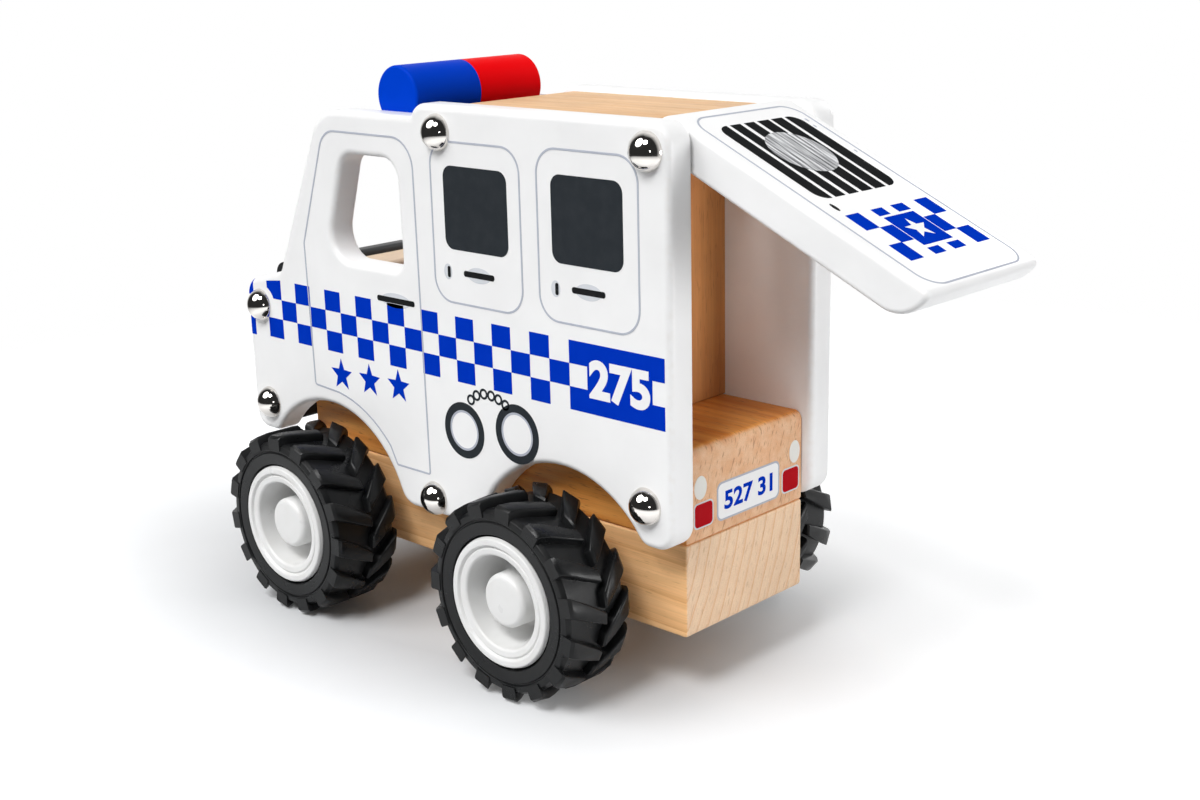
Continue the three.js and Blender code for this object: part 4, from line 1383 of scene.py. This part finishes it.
plate_number = ("plate_number", "527 31", PLATE_NUMBER_SIZE, PLATE_NUMBER_WEIGHT)
print_figures(*plate_number, on_plate, BLUE_INK, "blue_paint", TOP_LIFT)


# Stage

FLOOR_HALF = 1.6
FLOOR_SQUARES = 8
FLOOR_TONES = (0.595, 0.605)
FLOOR_TINT = (0.985, 1.0, 1.02, 1)
FLOOR_ROUGHNESS = 0.7
FLOOR_SPECULAR = 0.1
FLOOR_FADE = (240, 520)
# Away from the van the floor glows to the camera: painted light that lifts it to the white of the background
# and washes out the van's cast shadow there
FLOOR_PAINTED_GLOW = 0.69
# The glow is left out in an ellipse about this place, longer than it is wide, so the floor stays darker
# there: a painted shade about the van on top of its real shadow
PAINTED_SHADE_MIDDLE = (-61, -12, 0)
PAINTED_SHADE_SQUEEZE = (0.55, 1, 0)
PAINTED_SHADE_FADE = (44, 128)
ROOM_WHITE = (1, 1, 1, 1)
ROOM_LIGHT = 0.11
DARK_ROOM = 0.03
ROOM_SWEEP = (-0.1, 0.3)
VAN_MIDDLE = (0, 0, 0.09)


def floor_material():
    """White floor that takes the shadow near the van, with a painted glow further out that leaves a painted
    shade about the van, and fades into the background.
    """
    material, tree, principled = plain_material("studio_white_floor")
    place = place_in_mm(tree)
    tone = ramped(tree, noise(tree, place, scale=0.05), *CLOUD_SPREAD, *FLOOR_TONES)
    tree.links.new(shaded(tree, FLOOR_TINT, tone), principled.inputs["Base Color"])
    principled.inputs["Roughness"].default_value = FLOOR_ROUGHNESS
    principled.inputs["Specular IOR Level"].default_value = FLOOR_SPECULAR
    path = node(tree, "ShaderNodeLightPath").outputs
    direct = sums(tree, "MAXIMUM", path["Is Camera Ray"], path["Is Transmission Ray"])
    seen = sums(tree, "MAXIMUM", direct, path["Is Glossy Ray"])
    tree.links.new(seen, principled.inputs["Emission Strength"])
    # Painted light and shade: the glow grows from nothing near the van to its full strength further out
    from_painted_shade = vectors(tree, "SUBTRACT", place, PAINTED_SHADE_MIDDLE)
    painted_shade_reach = length(tree, vectors(tree, "MULTIPLY", from_painted_shade, PAINTED_SHADE_SQUEEZE))
    painted_glow = grey(tree, ramped(tree, painted_shade_reach, *PAINTED_SHADE_FADE, 0, FLOOR_PAINTED_GLOW))
    tree.links.new(painted_glow, principled.inputs["Emission Color"])
    tree.links.new(ramped(tree, length(tree, place), *FLOOR_FADE, 1, 0), principled.inputs["Alpha"])
    return material


floor_form = bmesh.new()
bmesh.ops.create_grid(floor_form, x_segments=FLOOR_SQUARES, y_segments=FLOOR_SQUARES, size=FLOOR_HALF)
floor = object_of("studio_floor", mesh_of("studio_floor", floor_form))
floor.location.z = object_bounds()[0].z
floor.data.materials.append(floor_material())


def between(tree, factor, a, b):
    """A value between two others."""
    return sums(tree, "ADD", a, product(tree, factor, sums(tree, "SUBTRACT", b, a)))


# White to the camera, and to mirrored rays from one side; otherwise a dim room
world = bpy.data.worlds.new("studio_world")
bpy.context.scene.world = world
world.use_nodes = True
sky = world.node_tree
backdrop = sky.nodes["Background"]
backdrop.inputs["Color"].default_value = ROOM_WHITE
path = node(sky, "ShaderNodeLightPath").outputs
heading = node(sky, "ShaderNodeTexCoord").outputs["Generated"]
heading_y = node(sky, "ShaderNodeSeparateXYZ", {0: heading}).outputs["Y"]
sweep = ramped(sky, heading_y, *ROOM_SWEEP, DARK_ROOM, 1.0)
mirrored = sums(sky, "MAXIMUM", path["Is Glossy Ray"], path["Is Transmission Ray"])
lit = between(sky, mirrored, ROOM_LIGHT, sweep)
sky.links.new(between(sky, path["Is Camera Ray"], lit, 1.0), backdrop.inputs["Strength"])


def softbox(name, place, size, power):
    """A round area lamp looking at the van."""
    lamp = bpy.data.lights.new(name, "AREA")
    lamp.shape = "DISK"
    lamp.size = size
    lamp.energy = power
    holder = object_of(name, lamp)
    holder.location = place
    holder.rotation_euler = (Vector(VAN_MIDDLE) - Vector(place)).to_track_quat("-Z", "Y").to_euler()


softbox("overhead_softbox", place=(-0.1, 0.2, 1.45), size=0.9, power=0.3)
softbox("nose_softbox", place=(-1.0, -1.6, 1.81), size=1.8, power=38.5)
softbox("side_softbox", place=(0.4, -1.6, 2.21), size=1.0, power=47.5)
softbox("tail_softbox", place=(0.97, 0.36, 0.08), size=0.4, power=5.0)
softbox("right_softbox", place=(0.0, 1.0, 0.45), size=0.5, power=2.9)
softbox("fill_softbox", place=(0.8, -0.75, 0.25), size=0.12, power=0.4)

# Camera
CAMERA_PLACE = Vector((342.36, -360.41, 215.09)) * MM
CAMERA_HEADING = math.radians(43.59)
CAMERA_DIP = math.radians(15.755)
CAMERA_ROLL = math.radians(-1.322)
CAMERA_SENSOR = 36
CAMERA_LENS = 49.58
CAMERA_NEAREST = 0.01
ahead = Vector((
    -math.sin(CAMERA_HEADING) * math.cos(CAMERA_DIP),
    math.cos(CAMERA_HEADING) * math.cos(CAMERA_DIP),
    -math.sin(CAMERA_DIP),
))
level_right = ahead.cross(Vector((0, 0, 1))).normalized()
level_up = level_right.cross(ahead)
right = level_right * math.cos(CAMERA_ROLL) + level_up * math.sin(CAMERA_ROLL)
up = right.cross(ahead)
camera = object_of("camera", bpy.data.cameras.new("camera"))
camera.data.sensor_width = CAMERA_SENSOR
camera.data.lens = CAMERA_LENS
camera.data.clip_start = CAMERA_NEAREST
camera.matrix_world = Matrix.Translation(CAMERA_PLACE) @ Matrix((right, up, -ahead)).transposed().to_4x4()
bpy.context.scene.camera = camera
bpy.context.scene.view_settings.view_transform = "Standard"
